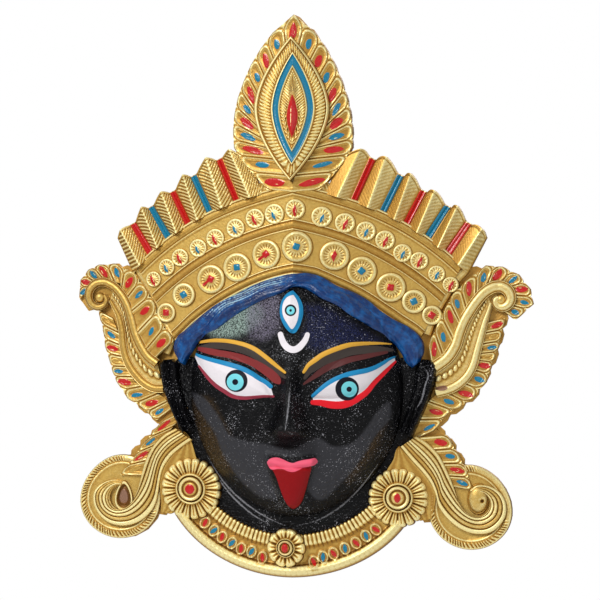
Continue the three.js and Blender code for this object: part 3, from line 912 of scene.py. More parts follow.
@dataclass
class Finial:
    """The pointed leaf on top: slanting petals round a framed lens with ribs and a red seed."""

    middle: float = 833.5
    tips: tuple = (
        (62, 706), (90, 738), (106, 765), (107, 795), (104, 825), (98, 853), (88, 882), (75, 912),
        (58, 941), (38, 968),
    )
    roots: tuple = (
        (8, 701), (22, 732), (42, 757), (53, 774), (58, 792), (62, 812), (60, 836), (50, 868), (37, 896),
        (20, 928),
    )
    top_root: Point = (0, 945)
    top_tip: Point = (0, 1000)
    paints: str = "rtrtrtrtrt"
    level: float = 7.0
    ribs: int = 38
    slant: float = 1.7  # how far a rib runs on across its band, in ribs
    # Half height and half width in thousandths, and rise in mm, from the middle out.
    lens: tuple = (
        (0, 0, 9.3), (36, 10.5, 9.3), (62, 19.5, 9.3), (70.5, 22.5, 9.2), (73.5, 23.8, 10.0),
        (75.5, 25.0, 9.9), (78, 26.8, 9.2), (87, 31, 9.0), (94, 34.8, 9.2), (97, 36.6, 10.1),
        (99, 38.2, 10.1), (101.5, 40.2, 9.3), (104, 42.3, 9.6), (111, 50, 9.8), (119, 58.5, 9.4),
        (121.5, 60.8, 9.0), (124, 63, 9.9), (126, 65, 9.8), (128, 67, 8.4), (129, 68, 7.4),
    )
    seed_down: float = 13.6
    seed_tall: float = 40.0
    seed_wide: float = 10.4

    def swell(self, z: Field) -> Field:
        """How far the leaf is pushed to one side at a height."""
        return -5 * np.sin(np.pi * np.clip((z - 703.5) / 290, 0, 1))

    def build(self, casting: Casting) -> None:
        """Adds the finial's sheets."""
        left = [(-x, z) for x, z in self.tips]
        left_roots = [(-x, z) for x, z in self.roots]
        row = Petals(
            [*left_roots, self.top_root, *reversed(self.roots)],
            [*left, self.top_tip, *reversed(self.tips)],
            [self.level], f"{self.paints}r{self.paints[::-1]}", 3, -0.15, (0.48, 2.7, 1.25), 1.6,
            longer=(1.5, 1.45, 1.2, 1.0, 0.95, 1.0, 0.95, 1.0, 1.2, 1.45, 1.5),
        )

        def border(u: Field, v: Field) -> Lay:
            laid = row.lay(u, v)
            laid.x = laid.x + self.swell(laid.z)
            return laid

        casting.sheet(20 * row.count(), 30, border)
        casting.sheet(12 * self.ribs, 80, self.core, welded=True)
        casting.sheet(72, 36, self.foot)

    def core(self, u: Field, v: Field) -> Lay:
        """The framed lens."""
        angle = 2 * np.pi * u
        tall, wide, rise = rings(u, v, self.lens)
        half = 2 * np.abs(((u + 0.5) % 1) - 0.5)
        up = lerp(np.cos(angle), 1 - 2 * half, 0.75)
        x = wide * leaf(up) * np.sign(np.sin(angle))
        z = self.middle + tall * up
        steps = v * (len(self.lens) - 1)
        turn = (1 - up) / 2 * self.ribs
        band = smooth(steps, 11.2, 11.8) * (1 - smooth(steps, 14.2, 14.8))
        ends = smooth(turn, 0.5, 4) * (1 - smooth(turn, self.ribs - 4, self.ribs - 0.5))
        run = self.slant * (steps - 11.5) / 3 * ends
        rise = rise + band * 0.85 * (wave(turn + run) - 0.5)
        seed_x, seed_z = x, z - (self.middle - self.seed_down)
        seed = (leaf(np.clip(seed_z / self.seed_tall, -1, 1)) * self.seed_wide - np.abs(seed_x)) * MIL
        seed = np.where(np.abs(seed_z) < self.seed_tall, seed, NONE)
        inner = 1 - smooth(steps, 2.6, 3.0)
        herring = wave((z - 0.9 * np.abs(x)) * MIL / 1.35)
        rise = rise + inner * 0.7 * (herring - 0.5) * (1 - smooth(seed, -0.4, 0.0))
        rise = rise + 1.3 * np.sqrt(np.clip(seed / 2.4, 0, 1)) - 0.3 * swell(seed, -0.35, 0.3)
        teal = np.minimum(steps - 5.7, 8.8 - steps) * 1.1
        # Painted highlight on the red seed.
        glint = 0.16 - np.abs(seed_x * MIL + 0.5) - 0.3 * smooth(np.abs(seed_z), 12, 22)
        x = x - 4 * smooth(steps, 11, 17)
        coats = {Coat.RED: seed - 0.1, Coat.TEAL: teal, Coat.PALE: np.where(seed > 0, glint, NONE)}
        coats[Coat.HOLLOW] = -0.45 * inner - 0.1 * band
        return Lay(x, z, rise, coats)

    def foot(self, u: Field, v: Field) -> Lay:
        """The plate where the leaf stands on the crown."""
        share = 2 * u - 1
        x = share * lerp(76, 50, v)
        low = lerp(690, 672, np.abs(share))
        z = lerp(low, 724, v)
        rib = wave(share * 9)
        return Lay(x, z, 5.5 + 0.45 * rib * smooth(v, 0.2, 0.4), {})


@dataclass
class Crown:
    """The crown's bands: three rounded mouldings with two rows of rosettes between them."""

    half: float = 292.0
    taper: float = 74.0
    # Band from the upper edge to the lower one, and rise over the crown's level in mm.
    rows: tuple = (
        (-0.012, -0.6), (-0.004, 0.2), (0.004, 0.5), (0.013, 0.4), (0.018, 0.1), (0.026, 0.5), (0.038, 0.9),
        (0.058, 1.0), (0.078, 0.9), (0.092, 0.5), (0.1, 0.1), (0.106, 0.4), (0.114, 0.6), (0.122, 0.3),
        (0.132, 0.0), (0.16, 0.0), (0.27, 0.0), (0.37, 0.0), (0.382, 0.1), (0.39, 0.5), (0.398, 0.6),
        (0.406, 0.1), (0.414, 0.5), (0.425, 0.9), (0.447, 1.0), (0.469, 0.9), (0.482, 0.5), (0.489, 0.1),
        (0.497, 0.45), (0.505, 0.6), (0.513, 0.1), (0.54, 0.0), (0.7, 0.0), (0.85, 0.0), (0.868, 0.1),
        (0.875, 0.5), (0.882, 0.6), (0.89, 0.1), (0.9, 0.6), (0.915, 1.0), (0.943, 0.9), (0.957, 0.5),
        (0.966, 0.1), (0.975, 0.5), (0.985, 0.7), (0.995, 0.4), (1.01, -0.3),
    )
    grounds: tuple = ((0.132, 0.38), (0.515, 0.868))
    rolls: tuple = ((0.032, 0.088), (0.41, 0.482), (0.896, 0.958))
    # Place across and band of each rosette, set one by one as the caster did.
    small_left: tuple = (
        (-34, 0.286), (-70, 0.271), (-106, 0.298), (-144, 0.305), (-176, 0.304), (-210, 0.275),
        (-235, 0.266), (-260, 0.268),
    )
    small_right: tuple = (
        (50, 0.291), (90, 0.28), (126, 0.28), (159, 0.28), (189, 0.311), (218, 0.277), (248, 0.275),
        (272, 0.262),
    )
    small_middle: Point = (4, 0.277)
    large_left: tuple = ((-49, 0.713), (-103, 0.733), (-152, 0.703), (-203, 0.662), (-236, 0.685))
    large_right: tuple = ((72, 0.685), (119, 0.727), (169, 0.726), (209, 0.702), (240, 0.69))
    large_middle: Point = (7, 0.692)
    small_radii: tuple = (19, 19.5, 19, 18.5, 18.5, 17.5, 17, 16, 15)
    large_radii: tuple = (29, 27.5, 27.5, 27.5, 22.5, 18.5)

    SUNK: ClassVar[float] = 1.5  # how far a rosette's back stands behind the crown's front, in mm

    def build(self, casting: Casting) -> None:
        """Adds the bands and their rosettes."""
        casting.sheet(240, 2 * (len(self.rows) - 1), self.bands)
        small = self.row(self.small_middle, self.small_left, self.small_right)
        large = self.row(self.large_middle, self.large_left, self.large_right)
        for row, radii, rosette, faces in (
            (small, self.small_radii, self.small_rosette, (52, 16)),
            (large, self.large_radii, self.large_rosette, (95, 26)),
        ):
            for spot, step in row:
                laying = rosette(spot, radii[abs(step)], step)
                casting.sheet(*faces, laying, welded=True, back=CROWN_LEVEL - self.SUNK)

    @staticmethod
    def row(middle: Point, left: tuple, right: tuple) -> list[tuple[Point, int]]:
        """The rosettes of a row, with their numbers counted from the middle, negative to the left."""
        sides = [(spot, -1 - step) for step, spot in enumerate(left)]
        return [(middle, 0), *sides, *((spot, 1 + step) for step, spot in enumerate(right))]

    def bands(self, u: Field, v: Field) -> Lay:
        """The mouldings and the plain grounds."""
        band, rise = rings(u, 1 - v, self.rows)
        x = (2 * u - 1) * (self.half - self.taper * band)
        tone = np.zeros_like(x)
        for spans, shift in ((self.grounds, -0.1), (self.rolls, 0.4)):
            for low, high in spans:
                tone = tone + shift * smooth(band, low, low + 0.012) * (1 - smooth(band, high - 0.012, high))
        return Lay(x, arch(x, band) - dip(x) * smooth(band, 0.6, 1), CROWN_LEVEL + rise, {Coat.HOLLOW: tone})

    @staticmethod
    def around(spot: Point, radius: float, u: Field, v: Field) -> tuple[Field, Field, Field, Field]:
        """Places on a disc on the crown, its angle and its distance from the middle in mm."""
        angle = 2 * np.pi * u
        middle_z = float(arch(np.array(spot[0]), spot[1]))
        x = spot[0] + radius * v * np.sin(angle)
        return x, middle_z + radius * v * np.cos(angle), angle, radius * v * MIL

    def small_rosette(self, spot: Point, radius: float, step: int) -> Laying:
        """A small rosette: a flat disc with rays and a slanted stroke below its middle."""

        def lay(u: Field, v: Field) -> Lay:
            x, z, angle, far = self.around(spot, radius, u, v)
            share = [0, 0.3, 0.66, 0.76, 0.86, 0.94, 1]
            rise = CROWN_LEVEL + np.interp(v, share, [1.4, 1.3, 1.1, 1.4, 1.3, 0.5, -0.3])
            rays = wave(13 * angle / (2 * np.pi)) ** 5
            rise = rise - 0.3 * rays * smooth(v, 0.3, 0.45) * (1 - smooth(v, 0.72, 0.8))
            lean = np.sign(step) * 0.42
            dx = far * np.sin(angle) - 0.25 * np.sign(step)
            dz = far * np.cos(angle) + 0.8
            down = dz * math.cos(lean) + dx * math.sin(lean)
            side = dx * math.cos(lean) - dz * math.sin(lean)
            red = step % 2 == 0
            half_wide, half_tall = (0.95, 2.9) if red else (0.85, 2.2)
            mark = half_wide * (1 - np.abs(down / half_tall) ** 1.5) - np.abs(side)
            # Painted highlight on the stroke.
            glint = 0.12 - np.abs(side - 0.45) - 0.2 * smooth(np.abs(down), 0.6, 1.2)
            coats = {Coat.RED if red else Coat.TEAL: mark, Coat.PALE: np.where(mark > 0.1, glint, NONE)}
            coats[Coat.HOLLOW] = 0.16 * smooth(v, 0.62, 0.74) - 0.12
            return Lay(x, z, rise + 0.2 * smooth(mark, -0.1, 0.3), coats)

        return lay

    def large_rosette(self, spot: Point, radius: float, step: int) -> Laying:
        """A large rosette: a nearly flat disc with a broad smooth rim, thin rays and a painted spot."""

        def lay(u: Field, v: Field) -> Lay:
            x, z, angle, far = self.around(spot, radius, u, v)
            share = [0, 0.12, 0.26, 0.5, 0.62, 0.7, 0.8, 0.9, 0.96, 1]
            level = [1.9, 1.8, 1.4, 1.2, 1.3, 1.6, 1.7, 1.3, 0.5, -0.4]
            rise = CROWN_LEVEL + np.interp(v, share, level)
            rays = wave(19 * angle / (2 * np.pi) + 0.2 * step) ** 6
            rise = rise - 0.38 * rays * smooth(v, 0.34, 0.46) * (1 - smooth(v, 0.6, 0.68))
            right, up = far * np.sin(angle), far * np.cos(angle)
            mark = 1.6 - np.hypot(right, up) * (1 + 0.13 * np.cos(4 * (angle - 0.3 - step)))
            if step == 1:
                mark = 1.3 * (1 - np.abs(up - 0.4 * right) / 2.7) - np.abs(right - 0.1 * up)
            if step in (-1, -3):
                reach = np.clip((-0.8 * right - 0.6 * up) / 4.2, 0, 1)
                drip = 0.62 - np.hypot(right + 3.3 * reach, up + 2.5 * reach)
                mark = np.maximum(mark, drip)
            coat = Coat.TEAL if step % 2 == 0 else Coat.RED
            dish = 0.26 * smooth(v, 0.6, 0.72) - 0.12
            return Lay(x, z, rise + 0.2 * smooth(mark, -0.1, 0.3), {coat: mark, Coat.HOLLOW: dish})

        return lay


@dataclass
class Flutes:
    """Ridged flutes that lean out from the crown's upper edge, with painted strips between them."""

    side: Side
    tips: tuple = ((118, 763), (161, 749), (204, 719), (245, 689), (284, 662), (326, 621))
    strip_tops: tuple = ((137, 746), (185.5, 717), (225, 689), (267, 662), (303, 632))
    strip_feet: tuple = ((105, 678), (155, 654), (196, 632), (233, 604), (268, 582))
    first: tuple = ((56, 684), (84, 744))
    last: tuple = ((303, 560), (333, 606))
    strip: float = 5.8
    ridge: float = 5.5
    fall: float = 1.5
    valley: float = 1.0
    root: float = 3.0
    pitch: float = 1.8  # between two chevrons, in mm

    def skew(self, x: Field) -> Field:
        """The two sides reach out a little differently."""
        return x + np.maximum(0, x - 250) * (0.01 if self.side is Side.RIGHT else -0.05)

    def columns(self) -> list[tuple[Point, Point, float]]:
        """Foot, top and rise of each fold from the middle out, as in the source."""
        found = [(*self.first, self.valley)]
        for step, tip in enumerate(self.tips):
            inner = step < len(self.strip_feet)
            foot, top = (self.strip_feet[step], self.strip_tops[step]) if inner else self.last
            middle = (found[-1][0][0] + foot[0]) / 2
            found.append(((middle, float(arch(np.array(middle), 0))), tip, self.ridge))
            for off in (-self.strip, self.strip) if inner else (0,):
                ends = [(x + off, z - off / 2) for x, z in (foot, top)]
                found.append((*ends, self.valley))
        return found

    def build(self, casting: Casting) -> None:
        """Adds the flutes of this side."""
        casting.sheet(216, 66, self.lay)

    def lay(self, u: Field, v: Field) -> Lay:
        """The lay of the flutes: u from the middle of the mask out."""
        columns = self.columns()
        feet = [(foot[0] - 2, float(arch(np.array(foot[0]), 0)) - self.root) for foot, _, _ in columns]
        tops = [top for _, top, _ in columns]
        share = []
        for index in range(len(columns) - 1):
            share.append(0.45 if columns[index][2] == columns[index + 1][2] else 1.0)
        edges = np.concatenate([[0], np.cumsum(share)])
        at = np.interp(u * edges[-1], edges, np.arange(len(edges)))
        piece = np.clip(np.floor(at), 0, len(columns) - 2).astype(int)
        local = at - piece
        rises = np.array([rise for _, _, rise in columns])
        is_strip = (rises[piece] == self.valley) & (rises[piece + 1] == self.valley)
        foot_x, foot_z = along(feet, at)
        top_x, top_z = along(tops, at)
        bulge = 3.5 if self.side is Side.RIGHT else 1.2
        top_z = top_z + bulge * np.sin(np.pi * local) * ~is_strip
        x = self.skew(lerp(foot_x, top_x, v))
        z = lerp(foot_z, top_z, v)
        up = v * np.hypot(top_x - foot_x, top_z - foot_z) * MIL
        left = (1 - v) * np.hypot(top_x - foot_x, top_z - foot_z) * MIL
        to_ridge = np.where(rises[piece] == self.ridge, local, 1 - local)
        width = np.hypot(along(tops, piece + 1.0)[0] - along(tops, piece + 0.0)[0], 4) * MIL
        rise = np.interp(at, np.arange(len(columns)), rises)
        over = np.clip(rise - self.valley, 0, None) / (self.ridge - self.valley)
        rise = PLATE + rise - self.fall * v * over
        chevron = wave((up - 1.1 * to_ridge * width) / self.pitch) - 0.5
        body = smooth(left, 0.8, 1.1) * ~is_strip
        deep = self.depth(piece, to_ridge)
        rise = rise + body * deep * chevron * smooth(to_ridge, 0.0, 0.12) * (1 - smooth(to_ridge, 0.9, 1.0))
        rise = rise - 0.35 * swell(left, 1.0, 0.25) * ~is_strip
        off = np.abs(2 * local - 1)
        strip_rise = 0.55 * swell(off, 0.5, 0.25) - 0.3 * swell(off, 0, 0.14) - 0.3 * swell(off, 1, 0.15)
        rise = rise + is_strip * strip_rise
        number = np.cumsum([0] + [int(a[2] == b[2]) for a, b in zip(columns, columns[1:])])[piece]
        half = self.strip * MIL
        mark = np.minimum((0.98 - off) * half, left - 0.3)
        red = np.where(is_strip & (number % 2 == 0), mark, NONE)
        teal = np.where(is_strip & (number % 2 == 1), mark, NONE)
        # Painted highlight along the strip's two ridges, broken into lengths.
        gaps = 0.12 * wave(up / 7.3 + 0.31 * number) + 0.08 * wave(up / 2.9)
        scratch = 0.07 - np.abs(off - 0.45) * half - gaps
        pale = np.where(is_strip, scratch, NONE)
        # Painted light and shade on the facets, by which way each one faces, different on each side.
        inward, outward = (0.2, -0.12) if self.side is Side.RIGHT else (-0.1, 0.05)
        facing = np.where(is_strip, 0.0, np.where(piece % 3 == 0, inward, outward))
        coats = {Coat.RED: red, Coat.TEAL: teal, Coat.PALE: pale, Coat.HOLLOW: facing}
        return Lay(self.side.value * x, z, rise, coats)

    def depth(self, piece: Field, to_ridge: Field) -> Field:
        """Depth of the chevrons on each facet, in mm: the far side is worn nearly smooth."""
        if self.side is Side.LEFT:
            return np.full(piece.shape, 0.95)
        return np.where(piece % 3 == 0, 0.1, 0.14)


@dataclass
class Strand:
    """A rounded strand along a line, with a thin line along each edge.

    Attributes:
        points: the places that it passes through.
        wide: its width at even steps of its length, in thousandths.
        crest: height of its roll over the plate, in mm.
        lift: how much higher it starts than it ends, in mm.
        tone: how much darker its roll is.
    """

    points: Sequence[Point]
    wide: Sequence[float]
    crest: float = 3.0
    lift: float = 0.0
    tone: float = 0.3
    cell: float = 0.4

    def cells(self) -> int:
        """Faces along the strand."""
        return int(Path(self.points).length * MIL / self.cell)

    def lay(self, u: Field, v: Field) -> Lay:
        """The lay of the strand: u across it and v along it."""
        path = Path(self.points)
        x, z = path.at(v)
        way_x, way_z = path.way(v)
        off = (u - 0.5) * np.interp(v, np.linspace(0, 1, len(self.wide)), self.wide)
        out = np.abs(2 * u - 1)
        share = [0, 0.2, 0.4, 0.58, 0.7, 0.76, 0.83, 0.9, 0.95, 1]
        level = [1, 0.98, 0.92, 0.76, 0.52, 0.42, 0.52, 0.54, 0.38, 0.05]
        rise = PLATE + self.lift * (1 - v) + self.crest * np.interp(out, share, level)
        tone = self.tone * (1 - smooth(out, 0.6, 0.75))
        return Lay(x - way_z * off, z + way_x * off, rise, {Coat.HOLLOW: tone})


def beads(u: Field, v: Field, start: tuple, end: tuple, wide: float, radii: tuple[float, float]) -> Field:
    """Rise of a row of beads that grow or shrink along a channel between two lines, in mm.

    Args:
        u: share across the channel.
        v: share along it.
        start: places along its one side.
        end: places along its other side.
        wide: length of the channel, in mm.
        radii: radius of the first and the last bead, in mm.
    """
    across = (u - 0.5) * np.hypot(end[0] - start[0], end[1] - start[1]) * MIL
    far = v * wide
    rise = np.zeros(u.shape)
    spot = radii[0]
    while spot < wide - radii[1]:
        radius = lerp(*radii, spot / wide)
        away = np.hypot(far - spot, across) / radius
        rise = np.maximum(rise, 1.1 * radius * np.sqrt(np.clip(1 - away**2, 0, 1)))
        spot += 1.04 * (radius + lerp(*radii, (spot + 2 * radius) / wide))
    return rise


@dataclass(frozen=True)
class Curl:
    """Places that differ between the two upper scrolls, in dots of the canvas.

    Attributes:
        over_tips, over_roots, over_paints: the petals above the scroll.
        outer_tips, outer_roots, outer_paints: the petals below it.
        main, main_wide: line of the main strand and its width, from the ear to the middle of the head.
        stem: number of the main strand's points before its head.
        rim, rim_wide: line of the outer strand and its width.
        head: middle of the head.
        button: its button.
        seam: line of the low roll between the petals and the crown.
        beads: radius of the first and the last bead, in mm.
    """

    over_tips: tuple
    over_roots: tuple
    over_paints: str
    outer_tips: tuple
    outer_roots: tuple
    outer_paints: str
    main: tuple
    main_wide: tuple
    stem: int
    rim: tuple
    rim_wide: tuple
    head: Point
    button: Point
    seam: tuple
    beads: tuple[float, float]


LEFT_CURL = Curl(
    over_tips=(
        (78.5, 293), (79.5, 280), (87.5, 269.5), (98, 264.5), (114, 263.5), (134, 272), (146, 288.5),
        (154.5, 302.5), (160.5, 320), (170, 333.5),
    ),
    over_roots=(
        (88, 289.5), (90.5, 284.5), (98.5, 280), (107, 279), (119, 281.5), (123.5, 293), (131, 301),
        (135.5, 318.5), (140.5, 345.5), (152.5, 352.5),
    ),
    over_paints="trtrtrtrtr",
    outer_tips=(
        (99, 317), (102.5, 331), (104, 346), (108.5, 360.5), (111.5, 371.5), (115.5, 381.5), (127, 399),
        (141, 407.5), (150.5, 416.5),
    ),
    outer_roots=(
        (113, 324), (119, 339), (120.5, 351), (122.5, 362), (125.5, 371), (133, 382.5), (147, 390.5),
        (162, 398.5), (167, 406.5),
    ),
    outer_paints="-tr-trtrt",
    main=(
        (157, 363.5), (148, 356.5), (141, 346), (135.5, 334), (131, 317), (125.5, 302), (119.5, 292.5),
        (112, 285.5), (103.5, 282), (95.5, 283.5), (90, 289), (88.5, 297), (91.5, 304), (98, 307),
        (104, 304.5), (106, 299.5), (104, 295),
    ),
    main_wide=(10.5, 11, 11, 10.5, 10, 9.5, 9.5, 8, 5),
    stem=8,
    rim=(
        (163, 388.5), (153, 388), (143.5, 383), (136, 375.5), (129.5, 366.5), (125, 356.5), (122.5, 345),
        (121.5, 331), (118.5, 317), (113, 305.5), (110, 300),
    ),
    rim_wide=(9, 9.5, 9.5, 9, 8, 6.5, 4),
    head=(98.5, 295.5),
    button=(99.5, 297.5),
    seam=((136, 266), (147, 286), (157, 306), (164, 324), (170, 338), (165, 353)),
    beads=(1.75, 0.85),
)
RIGHT_CURL = Curl(
    over_tips=(
        (521, 315), (533, 304), (530, 289), (518.5, 274.5), (502, 266.5), (485.5, 265.5), (467, 279.5),
        (453, 293.5), (445.5, 307.5), (437.5, 324), (431.5, 337.5),
    ),
    over_roots=(
        (508, 309), (514, 301), (512.5, 289), (507, 284.5), (491.5, 283), (481, 289), (470.5, 298.5),
        (461, 314), (457, 327), (449.5, 351), (437.5, 361),
    ),
    over_paints="ttrtrtrtrtr",
    outer_tips=(
        (504, 323.5), (501, 335.5), (498.5, 346.5), (494.5, 357), (491, 367), (486, 382), (473, 398),
        (459, 407.5), (447, 414), (438.5, 425),
    ),
    outer_roots=(
        (487.5, 327), (485.5, 338), (483.5, 349), (480.5, 357.5), (476, 363.5), (471, 376.5), (456, 389.5),
        (437.5, 395.5), (424, 409.5), (417, 430),
    ),
    outer_paints="r-t-rtrtrt",
    main=(
        (435, 367), (447, 358), (455, 346), (459.5, 332), (464, 321), (470, 310.5), (477, 300.5),
        (485, 292), (494, 287), (502.5, 287), (508.5, 291.5), (510.5, 298.5), (507.5, 304.5), (501.5, 307),
        (496.5, 304.5), (495.5, 300), (498.5, 297.5),
    ),
    main_wide=(13, 13, 12.5, 12, 12, 12.5, 13, 11, 7),
    stem=8,
    rim=(
        (436, 392.5), (449, 389), (459, 383.5), (467.5, 375), (473, 364.5), (476, 353.5), (479, 342),
        (482, 331), (485, 320.5), (488.5, 310.5), (490.5, 303),
    ),
    rim_wide=(11, 11, 10, 9.5, 8.5, 7, 4),
    head=(500, 297.5),
    button=(500.5, 299.5),
    seam=((466, 268), (455, 280), (444, 296), (434, 314), (426, 334)),
    beads=(1.5, 0.8),
)


@dataclass
class UpperScroll:
    """An upper scroll: two strands with a beaded channel between them, edged with petals."""

    side: Side
    low: float = PLATE + 0.4
    high: float = PLATE + 3.0
    head_radius: float = 25.0
    button_radius: float = 9.0
    seam_wide: float = 17.0
    lift: float = 1.6
    worn_spot: Point = (441.5, 388)  # in dots of the canvas
    worn_size: Point = (11, 5)

    def build(self, casting: Casting) -> None:
        """Adds the scroll's sheets."""
        curl = LEFT_CURL if self.side is Side.LEFT else RIGHT_CURL
        levels = [self.low] * 4 + [self.low + 1.0] + [self.high] * 3
        over = Petals(seen(curl.over_roots), seen(curl.over_tips), levels, curl.over_paints, 11, -0.1)
        outer = Petals(seen(curl.outer_roots), seen(curl.outer_tips), [self.low], curl.outer_paints, 12, -0.1)
        # Painted shade: the left scroll's rolls are painted darker than the right's.
        tone = 0.3 if self.side is Side.LEFT else 0.04
        main = Strand(seen(curl.main), [wide * DOT for wide in curl.main_wide], 3.0, self.lift, tone)
        rim = Strand(seen(curl.rim), [wide * DOT for wide in curl.rim_wide], 2.8, 0.0, tone)
        seam = Strand(seen(curl.seam), [self.seam_wide] * 2, 1.0, 0.0, 0.0)
        casting.sheet(12, seam.cells(), seam.lay)
        casting.sheet(20 * over.count(), 32, over.lay)
        casting.sheet(20 * outer.count(), 30, outer.lay)
        head, button = seen([curl.head])[0], seen([curl.button])[0]
        casting.sheet(72, 24, round_sheet(head, self.head_radius, PLATE - 0.1, 0.3), welded=True)
        casting.sheet(34, 140, lambda u, v: self.channel(curl, u, v))
        casting.sheet(26, main.cells(), main.lay)
        casting.sheet(22, rim.cells(), lambda u, v: self.worn(rim.lay(u, v), v))
        casting.sheet(40, 14, round_sheet(button, self.button_radius, PLATE + 2.9, -2.4), welded=True)

    def worn(self, laid: Lay, v: Field) -> Lay:
        """Wears the start of the right outer strand to the metal."""
        if self.side is Side.RIGHT:
            spot_x, spot_z = seen([self.worn_spot])[0]
            away = np.hypot((laid.x - spot_x) / self.worn_size[0], (laid.z - spot_z) / self.worn_size[1])
            laid.coats[Coat.WORN] = (1 - away) * 1.2
        return laid

    def channel(self, curl: Curl, u: Field, v: Field) -> Lay:
        """The hollow channel between the strands, with a row of beads."""
        inner, outer = Path(seen(curl.main[:curl.stem])), Path(seen(curl.rim))
        start, end = inner.at(v), outer.at(v)
        long = 0.5 * (inner.length + outer.length) * MIL
        rise = PLATE + 0.2 + 0.6 * (1 - v) + beads(u, v, start, end, long, curl.beads)
        x, z = (lerp(a, b, u) for a, b in zip(start, end))
        return Lay(x, z, rise, {Coat.HOLLOW: np.full(u.shape, -0.1)})


def round_sheet(middle: Point, radius: float, level: float, edge: float) -> Laying:
    """A round sheet that bends up or down to its edge.

    Args:
        middle: its place.
        radius: its radius in thousandths.
        level: rise in the middle, in mm.
        edge: how much higher its edge is, in mm.
    """

    def lay(u: Field, v: Field) -> Lay:
        angle = 2 * np.pi * u
        x = middle[0] + radius * v * np.sin(angle)
        z = middle[1] + radius * v * np.cos(angle)
        bend = 1 - np.sqrt(np.clip(1 - (0.96 * v) ** 2, 0, 1))
        return Lay(x, z, level + edge * bend, {Coat.HOLLOW: np.full(u.shape, 0.12)})

    return lay


@dataclass(frozen=True)
class Sheaf:
    """Places that differ between the two lower scrolls, in dots of the canvas.

    Attributes:
        inner: edge of the sheaf of strands on the side of its roll, from the face to the roll's middle.
        outer: its other edge.
        beside: edge of the plain ground beside the rolled end, after the sheaf's outer edge.
        neck: edge of the plain ground beside the face.
        tips, roots, paints: the petals along it.
        eye: middle of the eye.
        eye_size: half width and half height of the eye.
        smooth_at: direction of the rim's smooth part, in turns from the top.
    """

    inner: tuple
    outer: tuple
    beside: tuple
    neck: tuple
    tips: tuple
    roots: tuple
    paints: str
    eye: Point
    eye_size: Point
    smooth_at: float


LEFT_SHEAF = Sheaf(
    inner=(
        (175, 428), (164, 434), (156.5, 441), (149.5, 451), (143.5, 465), (140.5, 477.5), (137.5, 490),
        (132, 502), (125, 508.5), (117.5, 509), (112, 504), (110, 497), (112.5, 490), (117, 486.5),
        (121.5, 485.5),
    ),
    outer=(
        (192, 440), (181, 448), (170, 458), (163, 469.5), (160, 481.5), (158.5, 492), (156, 503),
        (149.5, 513.5), (137.5, 522.5), (123, 526), (108, 522.5), (98, 513.5), (93, 502), (94, 491),
        (100.5, 484), (108, 480.5), (115.5, 479.5), (122, 482),
    ),
    beside=((161, 503), (160.5, 512)),
    neck=(
        (176, 429), (186, 433), (191, 442), (195, 455), (199, 468), (205, 482), (200, 496),
        (187, 507), (170, 514),
    ),
    tips=((154, 430), (141, 446), (131.5, 460), (123, 470)),
    roots=((175, 420), (161, 437), (152, 452), (146, 468)),
    paints="rtr-",
    eye=(123.5, 496),
    eye_size=(5, 8.5),
    smooth_at=0.84,
)
RIGHT_SHEAF = Sheaf(
    inner=(
        (417, 436), (429, 443.5), (438.5, 453.5), (445, 465), (451, 478.5), (455.5, 492), (459.5, 505),
        (467, 514.5), (476.5, 517.5), (485, 514), (490, 506), (489, 497.5), (485, 492),
    ),
    outer=(
        (400, 447), (411.5, 461), (422, 472.5), (430.5, 484), (435.5, 495.5), (438.5, 507), (445, 516.5),
        (454.5, 525.5), (466, 532), (478.5, 534.5), (491, 532.5), (500.5, 525), (506, 515), (506, 503),
        (501.5, 494), (494, 488), (484, 485), (475, 486), (469.5, 491),
    ),
    beside=((434, 507), (431.5, 519)),
    neck=((399, 446), (396.5, 449), (393, 460), (388, 468), (384, 478), (388, 494), (400, 508), (420, 521)),
    tips=((451, 441.5), (459, 455.5), (467, 470.5), (471, 484)),
    roots=((429, 443.5), (439, 457), (446, 470), (453, 482)),
    paints="rtrt",
    eye=(478, 499),
    eye_size=(9, 13),
    smooth_at=0.16,
)


